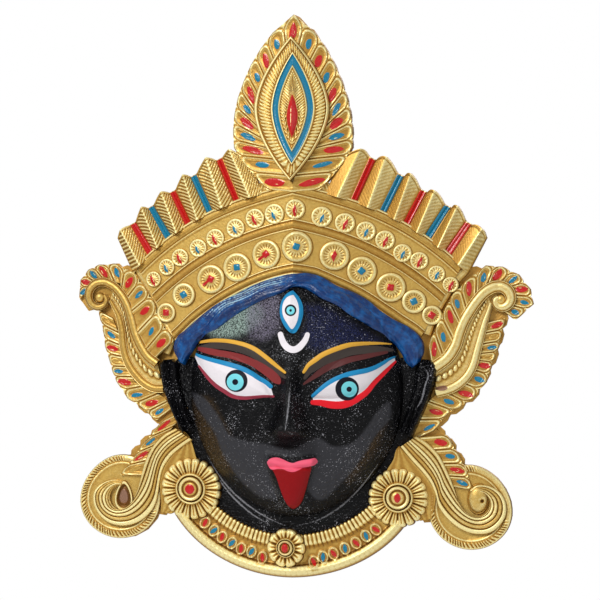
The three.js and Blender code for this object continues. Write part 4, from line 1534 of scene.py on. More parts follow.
@dataclass
class LowerScroll:
    """A lower scroll: a sheaf of strands that rolls up inside a broad beaded rim."""

    side: Side
    rim: Point = (314.0, 137.0)
    radius: float = 76.0
    flat: float = 7.0
    flat_at: float = 0.9
    strands: int = 6
    beads: int = 74
    shifts: Point = (-5.0, -2.0)  # how far the left and the right rim stand off the pattern
    higher: float = 3.5  # how much higher the right rim stands than the pattern, and the left one lower

    def turned(self, laid: Lay) -> Lay:
        """Moves a lay from the pattern to this side."""
        laid.x = self.side.value * laid.x + self.shifts[self.side is Side.RIGHT]
        laid.z = laid.z + self.side.value * self.higher
        return laid

    def build(self, casting: Casting) -> None:
        """Adds the scroll's sheets."""
        drawn = LEFT_SHEAF if self.side is Side.LEFT else RIGHT_SHEAF
        petals = Petals(seen(drawn.roots), seen(drawn.tips), [PLATE + 1.6], drawn.paints, 21, -0.25)
        inner, outer = Path(seen(drawn.inner)), Path(seen(drawn.outer))
        neck, beside = Path(seen(drawn.neck)), Path(seen([*drawn.outer[:5], *drawn.beside]))
        casting.sheet(22 * petals.count(), 34, petals.lay)
        casting.sheet(440, 40, lambda u, v: self.turned(self.disc(drawn, u, v**0.6)), welded=True)
        casting.sheet(84, int(outer.length * MIL / 0.5), lambda u, v: self.sheaf(inner, outer, u, v))
        casting.sheet(56, 24, lambda u, v: self.eye(drawn, u, v), welded=True)
        casting.sheet(32, 40, lambda u, v: self.neck(beside, neck, u, v))

    def sheaf(self, inner: Path, outer: Path, u: Field, v: Field) -> Lay:
        """The strands side by side, which narrow into the roll: u from the inner edge to the outer one."""
        in_x, in_z = inner.at(v)
        out_x, out_z = outer.at(v)
        spread = u + 0.035 * np.sin(2 * np.pi * u) * np.cos(3.0 * v)
        turn = np.clip(u, 0, 1 - 1e-6) * self.strands
        number = np.floor(turn)
        inside = np.abs(2 * (turn - number) - 1)
        wide = np.hypot(out_x - in_x, out_z - in_z) * MIL / self.strands / 2
        roll = np.sqrt(np.clip(1 - inside**2.4, 0, 1)) * np.clip(wide, 0.25, 1.1)
        roll = roll * (1 + 0.18 * np.cos(2.4 * number))
        rise = PLATE + 1.2 + 1.4 * (1 - (2 * u - 1) ** 2) + roll
        tone = 0.12 * np.sin(1.9 * number + 1) + 0.1 * smooth(u, 0.4, 0.9) * (1 - smooth(v, 0.35, 0.5))
        return Lay(lerp(in_x, out_x, spread), lerp(in_z, out_z, spread), rise, {Coat.HOLLOW: tone})

    def disc(self, drawn: Sheaf, u: Field, v: Field) -> Lay:
        """The broad rim round the roll, ribbed like a row of beads."""
        angle = 2 * np.pi * u
        flattened = self.radius - self.flat * np.maximum(0, np.cos(angle - self.flat_at)) ** 3
        x = self.rim[0] + flattened * v * np.sin(angle)
        z = self.rim[1] + flattened * v * np.cos(angle)
        share = [0, 0.68, 0.76, 0.8, 0.83, 0.86, 0.91, 0.95, 0.985, 1]
        rise = PLATE + np.interp(v, share, [0.2, 0.2, 0.3, 0.9, 0.4, 0.9, 1.1, 0.9, 0.5, -0.6])
        slant = self.side.value * 7 * (v - 0.9)
        ribs = wave(self.beads * u + slant + 0.35 * np.sin(2 * np.pi * 9 * u)) - 0.5
        turn = np.abs((u * self.side.value - drawn.smooth_at * self.side.value + 0.5) % 1 - 0.5)
        rough = smooth(turn, 0.13, 0.17)
        rise = rise + 1.1 * rough * ribs * smooth(v, 0.83, 0.87) * (1 - smooth(v, 0.95, 0.98))
        return Lay(x, z, rise, {})

    def eye(self, drawn: Sheaf, u: Field, v: Field) -> Lay:
        """The eye of the roll: worn to the metal on one side and a smooth dome on the other, with a small
        hole darkened as painted shade.
        """
        angle = 2 * np.pi * u
        worn = self.side is Side.LEFT
        middle_x, middle_z = seen([drawn.eye])[0]
        wide, tall = (size * DOT for size in drawn.eye_size)
        if worn:
            wide = wide * (1 - 0.3 * np.cos(angle))
        ring = 1.9 if worn else 1.25
        x = middle_x + wide * ring * v * np.sin(angle)
        z = middle_z + tall * ring * v * np.cos(angle)
        far = v * ring
        if worn:
            share = [0, 0.8, 1, 1.25, 1.5, 1.75, 1.9]
            rise = PLATE + np.interp(far, share, [1.5, 1.4, 0.6, 0.4, 1.9, 1.8, 0.2])
            return Lay(x, z, rise, {Coat.WORN: (0.95 - far) * 1.6, Coat.HOLLOW: np.full(u.shape, 0.3)})
        rise = PLATE + 0.2 + 3.6 * np.sqrt(np.clip(1 - (far / 1.1) ** 2, 0, 1))
        rise = rise + 0.9 * swell(far, 1.15, 0.06)
        # Painted shade in the small hole beside the dome.
        hole = np.hypot(x - middle_x - 8, z - middle_z + 3.5)
        dark = swell(hole, 0, 2.6)
        return Lay(x, z, rise - 1.6 * dark, {Coat.HOLLOW: 0.8 * dark})

    def neck(self, beside: Path, neck: Path, u: Field, v: Field) -> Lay:
        """The ground between the sheaf and the big rosette, with a few low folds."""
        in_x, in_z = beside.at(v)
        out_x, out_z = neck.at(v)
        rise = PLATE + 0.9 + 0.35 * wave(3 * u + 0.4 * v) + 0.6 * (1 - u)
        return Lay(lerp(in_x, out_x, u), lerp(in_z, out_z, u), rise, {Coat.HOLLOW: np.full(u.shape, 0.1)})


@dataclass
class Flower:
    """A rosette of scalloped petals with paired ribs, round a ringed boss with a painted seed."""

    x: float
    z: float
    radius: float
    petals: int
    level: float
    seed: tuple[float, float]  # half width and half height of the painted seed, in mm
    cells: int = 14

    def build(self, casting: Casting) -> None:
        """Adds the rosette's sheet."""
        casting.sheet(self.cells * self.petals, 50, self.lay, welded=True)

    def lay(self, u: Field, v: Field) -> Lay:
        """The lay of the rosette: u round it and v from the middle out."""
        angle = 2 * np.pi * u
        share = np.interp(v, [0, 0.55, 1], [0, 0.5, 1])
        in_petal = np.abs(2 * ((u * self.petals) % 1) - 1)
        lobe = 1 - 0.1 * (1 - np.sqrt(np.clip(1 - in_petal**2.4, 0, 1)))
        reach = self.radius * share * lerp(1, lobe, smooth(share, 0.7, 1))
        far = reach * MIL
        x = self.x + reach * np.sin(angle)
        z = self.z + reach * np.cos(angle)
        shares = [0, 0.14, 0.2, 0.245, 0.29, 0.33, 0.365, 0.4, 0.43, 0.465, 0.5, 0.56, 0.8, 0.9, 0.96, 1]
        levels = [6.3, 6.1, 5.6, 4.7, 5.6, 5.9, 5.4, 3.4, 4.3, 4.6, 3.4, 3.3, 3.7, 3.4, 2.6, 0.8]
        rise = self.level + np.interp(share, shares, levels)
        petals = smooth(share, 0.48, 0.56)
        groove = swell(1 - in_petal, 0, 0.2)
        rise = rise - petals * 0.75 * groove
        rise = rise + 0.4 * petals * (1 - smooth(share, 0.9, 0.97)) * swell(in_petal, 0.42, 0.2)
        rise = rise - 0.25 * petals * swell(in_petal, 0, 0.15) * (1 - smooth(share, 0.85, 0.95))
        wide, tall = self.seed
        mark = (1 - np.hypot(far * np.sin(angle) / wide, far * np.cos(angle) / tall)) * min(wide, tall)
        return Lay(x, z, rise + 0.2 * smooth(mark, -0.1, 0.4), {Coat.RED: np.where(share < 0.4, mark, NONE)})


ROSETTES = {
    Side.LEFT: Flower(-186.5, 152.5, 56, 20, PLATE, (2.2, 2.2)),
    Side.RIGHT: Flower(185.5, 152.5, 53.5, 20, PLATE, (1.4, 2.1)),
}


@dataclass
class Collar:
    """The collar: a comb-like fringe inside, a row of oval cups with stones, and a plain roll outside."""

    x: float = -9.0
    middle: float = 284.0
    taper: float = 7.0
    end: float = 0.137
    inner: float = 205.0
    outer: float = 281.0
    teeth: int = 46
    gems: tuple = (
        (262.3, 557.4), (251.5, 551.5), (241, 548.5), (231.8, 543), (222, 537), (213.8, 530.5),
        (205, 522.6), (313.8, 562), (323, 557), (333.5, 553.5), (345, 548.5), (356, 543), (366, 536),
        (375.8, 529.5),
    )

    def build(self, casting: Casting) -> None:
        """Adds the collar's sheet and its flower."""
        casting.sheet(400, 64, self.lay)
        Flower(self.x, 56, 35, 10, PLATE + 1.2, (1.5, 2.1), 18).build(casting)

    def lay(self, u: Field, v: Field) -> Lay:
        """The lay of the collar: u along the arc and v outwards."""
        share = 2 * u - 1
        turn = share * self.end
        tooth = turn / (2 * 0.13) * self.teeth
        in_tooth = np.abs(2 * (tooth % 1) - 1)
        start = self.inner + 6 * (1 - np.sqrt(np.clip(1 - in_tooth**2.2, 0, 1)))
        radius = lerp(start, self.outer, v)
        angle = 2 * np.pi * (0.5 - turn)
        reach = radius - self.taper * smooth(radius, 215, 281) * share**4
        x = self.x + reach * np.sin(angle)
        z = self.middle + reach * np.cos(angle)
        rows = [205, 208, 224, 227, 230, 255, 257, 259, 262, 268, 274, 278, 281]
        rises = [1.6, 2.3, 2.6, 1.0, 0.5, 0.5, 0.8, 0.6, 2.4, 3.6, 2.6, 1.0, -0.6]
        rise = PLATE + np.interp(radius, rows, rises)
        comb = np.sqrt(np.clip(1 - in_tooth**2, 0, 1)) - 1
        rise = rise + 1.1 * comb * (1 - smooth(radius, 224, 228))
        red = np.full(u.shape, NONE)
        teal = np.full(u.shape, NONE)
        for number, (gem_x, gem_z) in enumerate(seen(self.gems, PLATE + 1)):
            out = math.atan2(gem_x - self.x, gem_z - self.middle)
            across = ((x - gem_x) * math.cos(out) - (z - gem_z) * math.sin(out)) * MIL
            up = ((x - gem_x) * math.sin(out) + (z - gem_z) * math.cos(out)) * MIL
            away = np.hypot(across / 2.3, up / 2.9)
            rise = rise + 1.3 * swell(away, 0.88, 0.17) + 0.3 * (1 - smooth(away, 0.5, 0.8))
            lean = (0.35 if number % 2 else -0.25) * (1 if number < 7 else -1)
            side_off = across * math.cos(lean) - up * math.sin(lean)
            down = up * math.cos(lean) + across * math.sin(lean)
            mark = np.where(away < 1, 0.95 * (1 - (down / 2.2) ** 2) - np.abs(side_off), NONE)
            rise = rise + 0.3 * smooth(mark, -0.1, 0.3)
            if number % 7 % 2 == 0:
                red = np.maximum(red, mark)
            else:
                teal = np.maximum(teal, mark)
        return Lay(x, z, rise, {Coat.RED: red, Coat.TEAL: teal})


@dataclass
class Face:
    """The black face with its painted features, its ears and the plate under its jaw."""

    left_brow: tuple = (
        (199.7, 342.1), (210.9, 340.5), (222.8, 340.5), (234.8, 342.1), (246.7, 345.3), (254.7, 348.9),
        (262.7, 354.5), (270.7, 360.9), (278.6, 367.3), (285, 372.4),
    )
    right_brow: tuple = (
        (303.8, 372), (308.6, 364.9), (314.9, 360.1), (322.9, 354.5), (330.9, 350.9), (339.6, 347.7),
        (349.2, 344.9), (360.4, 343.7), (370.7, 343.3), (381.1, 343.3), (391.5, 344),
    )
    left_shadow: tuple = (
        (194.9, 346.5), (206.9, 347.7), (218.8, 349.7), (230.8, 351.7), (242.8, 354.5), (254.7, 359.3),
        (266.7, 365.7), (276.2, 372.8), (281, 379.2), (280.2, 384), (274.7, 383.2), (266.7, 376.8),
        (258.7, 370.8), (250.7, 365.7), (238.8, 361.3), (226.8, 357.7), (214.9, 355.7), (206.9, 353.7),
        (198.9, 350.5),
    )
    right_shadow: tuple = (
        (303.8, 384), (314.9, 376), (326.9, 368), (338.8, 363.3), (350.8, 359.3), (362.8, 356.9),
        (374.7, 354.5), (386.7, 352.1),
    )
    left_lid: tuple = (
        (192.9, 352.5), (198.9, 355.7), (206.9, 358.5), (218.8, 361.7), (230.8, 364.9), (242.8, 368.8),
        (250.7, 372.8), (258.7, 378), (266.7, 382.8), (270.7, 386.4),
    )
    right_lid: tuple = (
        (312.9, 396), (318.9, 390.4), (326.9, 384), (334.9, 379.2), (342.8, 376), (350.8, 373.6),
        (358.8, 372), (366.7, 370.4), (374.7, 367.6), (382.7, 363.3), (390.7, 358.5), (394.7, 356.9),
    )
    left_under: tuple = (
        (199, 366), (202.9, 371.2), (209.3, 379.2), (216.5, 386), (224.4, 391.2), (232.4, 396),
        (242.8, 397.9), (254.7, 397.1), (264.3, 396.3), (273.5, 396.3),
    )
    right_under: tuple = (
        (312.9, 402.3), (320.5, 402.7), (330.9, 404.7), (342.8, 404.7), (350.8, 402.3), (358.8, 397.9),
        (366.7, 392), (374.7, 382.4), (381.1, 376), (387.5, 369.6), (395.4, 361.7),
    )
    third_rim: tuple = (
        (292.9, 290.1), (298.9, 296.8), (302.6, 304.8), (303.3, 312.9), (301.6, 320.9), (298.3, 328.9),
        (294.9, 333), (292.2, 333.3), (286.9, 329.6), (282.9, 323.6), (280.2, 316.2), (279.8, 308.8),
        (281.9, 300.1), (286.9, 293.4),
    )
    third_white: tuple = (
        (293.6, 294.8), (296.9, 300.1), (298.9, 307.5), (298.6, 315.5), (296.3, 323.6), (292.2, 329.3),
        (286.9, 322.9), (283.5, 316.9), (282.2, 309.5), (283.5, 302.1), (287.5, 296.8), (291.6, 295.1),
    )
    crescent: tuple = (
        (280.5, 334.3), (281.9, 339), (284.5, 344.3), (288.9, 348.4), (293.6, 349.7), (298.3, 348),
        (302.3, 344), (305.8, 339), (307.4, 334.6),
    )
    lip: tuple = (
        (266.8, 462.2), (269.5, 459), (275.5, 457.3), (280.4, 458.2), (285.2, 460.3), (289, 462),
        (292.8, 463), (296.6, 461.7), (301.5, 460.3), (309.6, 459), (315.6, 458.2), (317.8, 461.7),
        (315, 464.9), (308.5, 466.6), (302, 468.2), (297.7, 470.6), (292.8, 472), (287.9, 471.2),
        (282.5, 469), (278.2, 468.7), (274.4, 469.5), (271.1, 469.3), (268.4, 466),
    )
    tongue: tuple = (
        (271.7, 468.4), (276, 476.9), (279.3, 486.6), (282, 494.2), (285.2, 501.3), (289, 506.7),
        (293.4, 508.8), (297.7, 506.7), (302, 501.3), (304.8, 493.1), (306.9, 486.1), (309.1, 477.4),
        (311.3, 466.2), (292, 464),
    )
    # Outlines of the patches of painted sheen on the gloss; the gleams below are lines of painted highlight.
    mist: tuple = (
        (208, 322), (224, 312), (240, 306), (256, 304), (262, 314), (254, 326), (238, 334), (220, 336),
        (210, 332),
    )
    plum: tuple = (
        (250, 306), (264, 299), (277, 297), (279, 312), (277, 328), (266, 338), (252, 336), (248, 322),
    )
    navy: tuple = (
        (306, 306), (322, 308), (344, 320), (366, 334), (380, 342), (350, 342), (318, 350), (304, 340),
        (308, 324),
    )
    ash: tuple = (
        (
            (213, 421), (228, 434), (246, 441), (266, 444), (291, 450), (306, 443), (318, 438), (332, 446),
            (352, 443), (367, 427), (378, 411), (389, 402), (391, 416), (377, 434), (361, 459), (342, 482),
            (318, 500), (308, 490), (314, 466), (316, 456), (292, 457), (268, 456), (270, 474), (278, 498),
            (264, 498), (246, 486), (230, 466), (218, 442),
        ),
        (
            (192, 392), (203, 397), (215, 411), (226, 430), (232, 442), (222, 444), (213, 430),
            (203, 416), (195, 404),
        ),
    )
    olive: tuple = (
        (194, 402), (206, 398), (220, 418), (232, 446), (236, 468), (222, 474), (208, 456), (198, 430),
    )
    umber_jaw: tuple = ((384, 424), (376, 446), (364, 464), (348, 482), (352, 470), (364, 450), (374, 432))
    gleams: tuple = (
        ((207, 455), (222, 480), (244, 502), (266, 517), (286, 526)),
        ((290.5, 382), (289, 400), (287, 418), (285, 432)),
        ((215, 356), (232, 358), (246, 363), (256, 370)), ((212, 470), (232, 496), (252, 514), (270, 525)),
        ((423, 366), (428, 374), (425, 386), (421, 401), (415, 410)),
        ((296, 526), (318, 520), (340, 507), (360, 488), (378, 464)),
    )
    # Middle of the ring, middle of the iris, and radius of the ring, the iris and the pupil of each eye.
    eyes: tuple = (
        ((236.4, 380.8), (235.2, 382.0), 11.2, 8.4, 3.0),
        ((347.2, 388.8), (349.2, 389.2), 11.8, 7.9, 2.7),
        ((290.6, 310.2), (290.6, 310.4), 5.9, 4.1, 1.4),
    )
    ear_line: tuple = ((231.65, 390), (227.55, 350), (213.2, 305), (194.75, 262))
    ground: tuple = ((70, 44), (172, 92), (212, 180), (212, 260), (232, 330), (234, 374), (206, 400))

    THICK: ClassVar[tuple] = (Brush.YELLOW, Brush.BLUE, Brush.SCARLET, Brush.CRIMSON)
    WALL: ClassVar[float] = 3.0  # from the front of the face to its back, in mm

    def build(self, casting: Casting) -> None:
        """Adds the face, the ears and the plate."""
        casting.sheet(198, 206, self.dome, lined=lambda x, z: FACE.height(x, z) - self.WALL)
        casting.sheet(260, 40, self.plate)
        for side in Side:
            casting.sheet(26, 60, lambda u, v, s=side: self.ear(u, v, s))

    def dome(self, u: Field, v: Field) -> Lay:
        """The face itself, laid as a square pressed into its outline."""
        a, b = 2 * u - 1, 2 * v - 1
        flat_x = a * np.sqrt(1 - b**2 / 2)
        flat_z = b * np.sqrt(1 - a**2 / 2)
        share = np.hypot(flat_x, flat_z)
        angle = np.arctan2(flat_x, flat_z)
        edge = FACE.radius(np.sin(angle), FACE.middle + np.cos(angle))
        x = share * edge * np.sin(angle)
        z = FACE.middle + share * edge * np.cos(angle)
        rise = FACE.height(x, z) + self.relief(x, z)
        canvas = Canvas(x, z, rise)
        coats = self.painting(canvas)
        thick = np.maximum.reduce([coats[brush] for brush in self.THICK])
        return Lay(x, z, rise + 0.25 * smooth(thick, -0.2, 0.3), coats)

    def relief(self, x: Field, z: Field) -> Field:
        """Height of the nose, the eyes, the lips and the tongue over the dome, in mm."""
        rows = [236, 250, 258, 268, 290, 320, 352, 380, 420]
        ridge = np.interp(z, rows, [0, 4.5, 10.5, 13.0, 12.0, 8.8, 6.0, 2.6, 0])
        half = np.interp(z, rows, [34, 32, 31, 29, 22, 16, 14, 17, 26])
        nose = ridge * np.exp(-np.abs(x / half) ** 2.4)
        for side in (-1, 1):
            nose = nose + 3.6 * np.exp(-(((x - side * 21) / 9) ** 2) - ((z - 266) / 11) ** 2)
        eyes = np.zeros_like(x)
        for side in (-1, 1):
            lean = side * math.radians(27)
            far_x, far_z = x - side * 106, z - 362
            far = far_x * math.cos(lean) + far_z * math.sin(lean)
            up = -far_x * math.sin(lean) + far_z * math.cos(lean)
            lens = 1 - np.abs(far / 82) ** 1.75 - np.abs(up) / 31
            eyes = np.maximum(eyes, 3.0 * np.sqrt(np.clip(lens, 0, 1)))
            brow = swell(up - 54 + 14 * (far / 90) ** 2, 0, 12) * (1 - smooth(np.abs(far), 75, 105))
            eyes = eyes + 1.4 * brow
        third = 2.0 * np.sqrt(np.clip(1 - np.abs((z - 475) / 40) ** 1.75 - np.abs(x) / 22, 0, 1))
        chin = 2.4 * np.exp(-((x / 46) ** 2) - ((z - 128) / 26) ** 2)
        lips = 3.6 * swell(z - 203 - 0.18 * np.abs(x), 0, 12) * (1 - smooth(np.abs(x), 38, 52))
        half = np.interp(z, [120, 126, 150, 200], [4, 14, 26, 42])
        tongue = 4.4 * np.sqrt(np.clip(1 - np.abs(x / half) ** 3, 0, 1))
        tongue = tongue * smooth(z, 121, 134) * (1 - smooth(z, 196, 206))
        return np.maximum.reduce([nose, eyes, third, np.maximum(lips, tongue), chin])

    def painting(self, canvas: Canvas) -> dict:
        """All the painted marks of the face, with its painted sheen and highlight lines."""
        coats = dict.fromkeys(Brush, np.full(canvas.a.shape, NONE))
        coats[Brush.YELLOW] = np.maximum(
            canvas.line(self.left_brow, [2.6, 3.8, 4, 4.4, 4.6, 4.2, 2.6]),
            canvas.line(self.right_brow, [3, 5, 5, 5, 4, 3, 1.2]),
        )
        coats[Brush.RUSSET] = canvas.line(self.right_shadow, [2, 6, 7, 6, 5, 3])
        umber_left = canvas.line([(x, y + 5) for x, y in self.left_brow], [3, 7, 8, 9, 9, 7, 3])
        umber_right = canvas.line([(x + 1, y + 6) for x, y in self.right_brow], [3, 8, 10, 10, 9, 7, 3])
        coats[Brush.UMBER] = np.maximum(umber_left, umber_right)
        left_lid = canvas.line(self.left_lid, [2.4, 4, 4.6, 5, 5, 4.8, 4.4])
        right_lid = canvas.line(self.right_lid, [3.6, 4.4, 4.6, 5.2, 5, 4, 2])
        third = canvas.patch(self.third_white)
        rim = np.minimum(canvas.patch(self.third_rim), -third)
        coats[Brush.BLUE] = np.maximum.reduce([left_lid, right_lid, rim])
        left_white = canvas.patch([*self.left_lid, *reversed(self.left_under)], corners=True)
        right_white = canvas.patch([*self.right_lid, *reversed(self.right_under)], corners=True)
        moon = canvas.line(self.crescent, [5.6, 6.4, 6.8, 6.8, 6.6, 6, 5])
        coats[Brush.WHITE] = np.maximum.reduce([left_white, right_white, third, moon])
        coats[Brush.CRIMSON] = canvas.line(self.left_under, [2, 3.4, 4, 4, 3.6, 3, 2.4])
        coats[Brush.SCARLET] = canvas.line(self.right_under, [5, 7.4, 7.6, 6.2, 5, 4.4, 2.4])
        for brush, middle, radius in ((Brush.RING, 0, 2), (Brush.IRIS, 1, 3), (Brush.PUPIL, 1, 4)):
            coats[brush] = np.maximum.reduce([canvas.disc(eye[middle], eye[radius]) for eye in self.eyes])
        for brush, outlines in (
            (Brush.MAROON, [self.left_shadow]),
            (Brush.LIP, [self.lip]),
            (Brush.TONGUE, [self.tongue]),
            (Brush.MIST, [self.mist]),
            (Brush.PLUM, [self.plum]),
            (Brush.NAVY, [self.navy]),
            (Brush.OLIVE, [self.olive, self.umber_jaw]),
            (Brush.ASH, self.ash),
        ):
            coats[brush] = np.maximum.reduce([canvas.patch(outline) for outline in outlines])
        coats[Brush.GLEAM] = self.gleam(canvas)
        return coats

    def plate(self, u: Field, v: Field) -> Lay:
        """The black ground between the jaw, the rosettes and the collar: u round the jaw and v outwards."""
        half, height = along(self.ground, np.linspace(0, len(self.ground) - 1, 200))
        edge_x = np.concatenate([half[::-1], np.linspace(self.ground[0][0], -self.ground[0][0], 60), -half])
        edge_z = np.concatenate([height[::-1], np.full(60, float(self.ground[0][1])), height])
        turns = np.arctan2(edge_x, -(edge_z - FACE.middle))
        order = np.argsort(turns)
        turn = lerp(turns.min(), turns.max(), u)
        outer = np.interp(turn, turns[order], np.hypot(edge_x, edge_z - FACE.middle)[order])
        inner = 0.965 * FACE.radius(np.sin(turn), FACE.middle - np.cos(turn))
        reach = lerp(inner, np.maximum(outer, inner + 4), v)
        x, z = reach * np.sin(turn), FACE.middle - reach * np.cos(turn)
        rise = np.full(u.shape, PLATE)
        return Lay(x, z, rise, {Brush.GLEAM: self.gleam(Canvas(x, z, rise))})

    def gleam(self, canvas: Canvas) -> Field:
        """The thin bright lines on the gloss: painted highlights."""
        return np.maximum.reduce([canvas.line(points, [0.4, 1.3, 1.6, 1.3, 0.4]) for points in self.gleams])

    def ear(self, u: Field, v: Field, side: Side) -> Lay:
        """An ear, flat against the head, with a rolled rim."""
        path = Path([(side.value * x, z) for x, z in self.ear_line])
        x, z = path.at(v)
        way_x, way_z = path.way(v)
        off = (u - 0.5) * lerp(36, 26, v) * (0.5 + 0.5 * smooth(v, 0, 0.07))
        out = u if side is Side.RIGHT else 1 - u
        share = [0, 0.15, 0.35, 0.55, 0.8, 0.92, 1]
        rise = PLATE + np.interp(out, share, [1.2, 3.6, 5.0, 3.4, 6.2, 5.6, 1.2])
        rise = rise * lerp(1, 0.94, v)
        x, z = x - way_z * off, z + way_x * off
        return Lay(x, z, rise, {Brush.GLEAM: self.gleam(Canvas(x, z, rise))})


@dataclass
class Hair:
    """The rolled band of hair under the crown, set out in dots of the canvas."""

    upper: tuple = (
        (176.5, 360), (172.5, 352), (172, 345), (176, 336), (184, 329.5), (190, 324.5), (200, 315),
        (220, 301), (235, 294), (250, 286), (265, 280), (280, 275.5), (293, 273.5), (305, 273), (320, 277),
        (335, 285.5), (350, 291.5), (365, 299.5), (380, 311.5), (395, 321), (407, 327), (415.5, 333.5),
        (421, 342), (422, 352), (418, 362),
    )
    lower: tuple = (
        (182, 365), (185, 358), (190, 351), (200, 338), (210, 333), (220, 326), (235, 315), (250, 306),
        (265, 298.5), (280, 293), (294, 286.5), (305, 289), (320, 298), (335, 304.5), (350, 315),
        (365, 324), (380, 334), (393, 345), (399.5, 354), (405, 364), (410, 368),
    )
    upper_rise: float = 13.0
    lower_rise: float = 15.0
    roll: float = 3.2
    wall: float = 1.5

    def build(self, casting: Casting) -> None:
        """Adds the band."""
        upper, lower = Path(seen(self.upper, self.upper_rise)), Path(seen(self.lower, self.lower_rise))
        casting.sheet(
            300, 40, lambda u, v: self.lay(upper, lower, u, v),
            lined=lambda x, z: FACE.height(x, z) - self.wall,
        )

    def lay(self, upper: Path, lower: Path, u: Field, v: Field) -> Lay:
        """The lay of the band: u across and v up."""
        top_x, top_z = upper.at(u)
        low_x, low_z = lower.at(u)
        x, z = lerp(low_x, top_x, v), lerp(low_z, top_z, v)
        level = np.maximum(FACE.height(x, z), CROWN_LEVEL + 1.2)
        rise = level + self.roll * (0.15 + 0.85 * (1 - np.abs(2 * v - 1) ** 2.4))
        left = 1 - smooth(u, 0.44, 0.5)
        strands = wave(4.5 * v + 0.5 * np.sin(19 * u) + 0.3 * np.sin(43 * u)) - 0.5
        rise = rise + strands * lerp(0.24, 0.45, left * smooth(u, 0.12, 0.2) * smooth(v, 0.3, 0.5))
        # Painted light on the left of the band: pale streaks of painted highlight, and a band of painted
        # shade below them.
        lit = left * smooth(u, 0.14, 0.26)
        wisps = wave(8.5 * v + 0.7 * np.sin(19 * u) + 0.4 * np.sin(43 * u))
        wisps = wisps * lerp(0.45, 1, wave(7 * u + 3 * v))
        pale = lit * smooth(v, 0.42, 0.6) * (1.05 * wisps + 0.2) - 0.2
        return Lay(x, z, rise, {Coat.PALE: pale, Coat.WORN: -2 * lit * swell(v, 0.28, 0.15)})


@dataclass(frozen=True)
class FacePaint:
    """Glossy black paint with painted features, and painted sheen, sparkle and highlight lines on the gloss.
    """

    name: str = "face_paint"
    black: Colour = shade(5, 5, 7)
    colours: dict = field(default_factory=lambda: {
        Brush.UMBER: shade(66, 58, 54), Brush.MAROON: shade(132, 50, 50), Brush.RUSSET: shade(88, 44, 44),
        Brush.YELLOW: shade(218, 164, 60), Brush.WHITE: shade(228, 222, 226), Brush.BLUE: shade(32, 132, 182),
        Brush.CRIMSON: shade(150, 52, 68), Brush.SCARLET: shade(222, 28, 40), Brush.RING: shade(18, 18, 30),
        Brush.IRIS: shade(116, 210, 220), Brush.PUPIL: shade(14, 18, 34), Brush.TONGUE: shade(138, 6, 12),
        Brush.LIP: shade(232, 92, 118),
    })
    sheens: dict = field(default_factory=lambda: {
        Brush.NAVY: shade(30, 36, 74), Brush.MIST: shade(150, 172, 162), Brush.PLUM: shade(112, 106, 124),
        Brush.OLIVE: shade(70, 52, 26),
    })
    ash: Colour = shade(50, 50, 54)
    spark: Colour = shade(176, 176, 182)
    gleam: Colour = shade(120, 120, 124)

    def made(self) -> bpy.types.Material:
        """Puts the finish together."""
        bench = Bench(self.name)
        grain = bench.noise(1100.0, 2.0)
        speck = bench.noise(1700.0, 2.0, 0.7)
        tone: Wire | Colour = self.black
        # Painted sheen: reflections on the gloss painted as coloured and grey patches.
        for brush, colour in self.sheens.items():
            share = bench.mark(brush).ramp(-3.0, 2.0) * speck.ramp(0.34, 0.66)
            tone = bench.mix(share, tone, colour)
        tone = bench.mix((bench.mark(Brush.ASH) + (speck - 0.5) * 1.5).ramp(-0.9, 0.9), tone, self.ash)
        # Painted sparkle: tiny glints painted as pale specks.
        tone = bench.mix((speck + (bench.noise(90.0, 2.0) - 0.5) * 0.3).ramp(0.66, 0.72), tone, self.spark)
        # Painted highlight: thin bright lines on the gloss.
        gleam = (bench.mark(Brush.GLEAM) + (speck - 0.5) * 0.9).ramp(-0.12, 0.12)
        tone = bench.mix(gleam, tone, self.gleam)
        painted: Wire | None = None
        for brush, colour in self.colours.items():
            share = (bench.mark(brush) + (grain - 0.5) * 0.12).ramp(-0.06, 0.06)
            tone = bench.mix(share, tone, colour)
            painted = share if painted is None else painted.most(share)
        grit = bench.noise(650.0, 3.0, 0.6)
        return bench.dress(
            base_color=tone,
            specular_ior_level=0.15,
            roughness=0.2 + painted * 0.25,
            normal=bench.bump(grit * (1 - painted * 0.75), 0.0009),
        )


@dataclass(frozen=True)
class HairPaint:
    """Deep blue gloss with paler streaks along the strands as painted highlight, and a darker band as painted
    shade.
    """

    name: str = "hair_paint"
    deep: Colour = shade(0, 46, 102)
    light: Colour = shade(2, 82, 146)
    dark: Colour = shade(8, 24, 66)
    streak: Colour = shade(150, 190, 214)

    def made(self) -> bpy.types.Material:
        """Puts the finish together."""
        bench = Bench(self.name)
        streak = bench.noise(300.0, 4.0)
        grain = bench.noise(900.0, 2.0)
        tone = bench.mix(streak.ramp(0.4, 0.7), self.deep, self.light)
        # Painted shade: the darker band.
        tone = bench.mix(bench.mark(Coat.WORN).ramp(-1.6, -0.3), bench.mix(0.35, self.dark, tone), tone)
        # Painted highlight: the pale streaks.
        tone = bench.mix((bench.mark(Coat.PALE) + (grain - 0.5) * 1.6).ramp(0.22, 0.75), tone, self.streak)
        return bench.dress(base_color=tone, roughness=0.3, normal=bench.bump(grain, 0.0003))


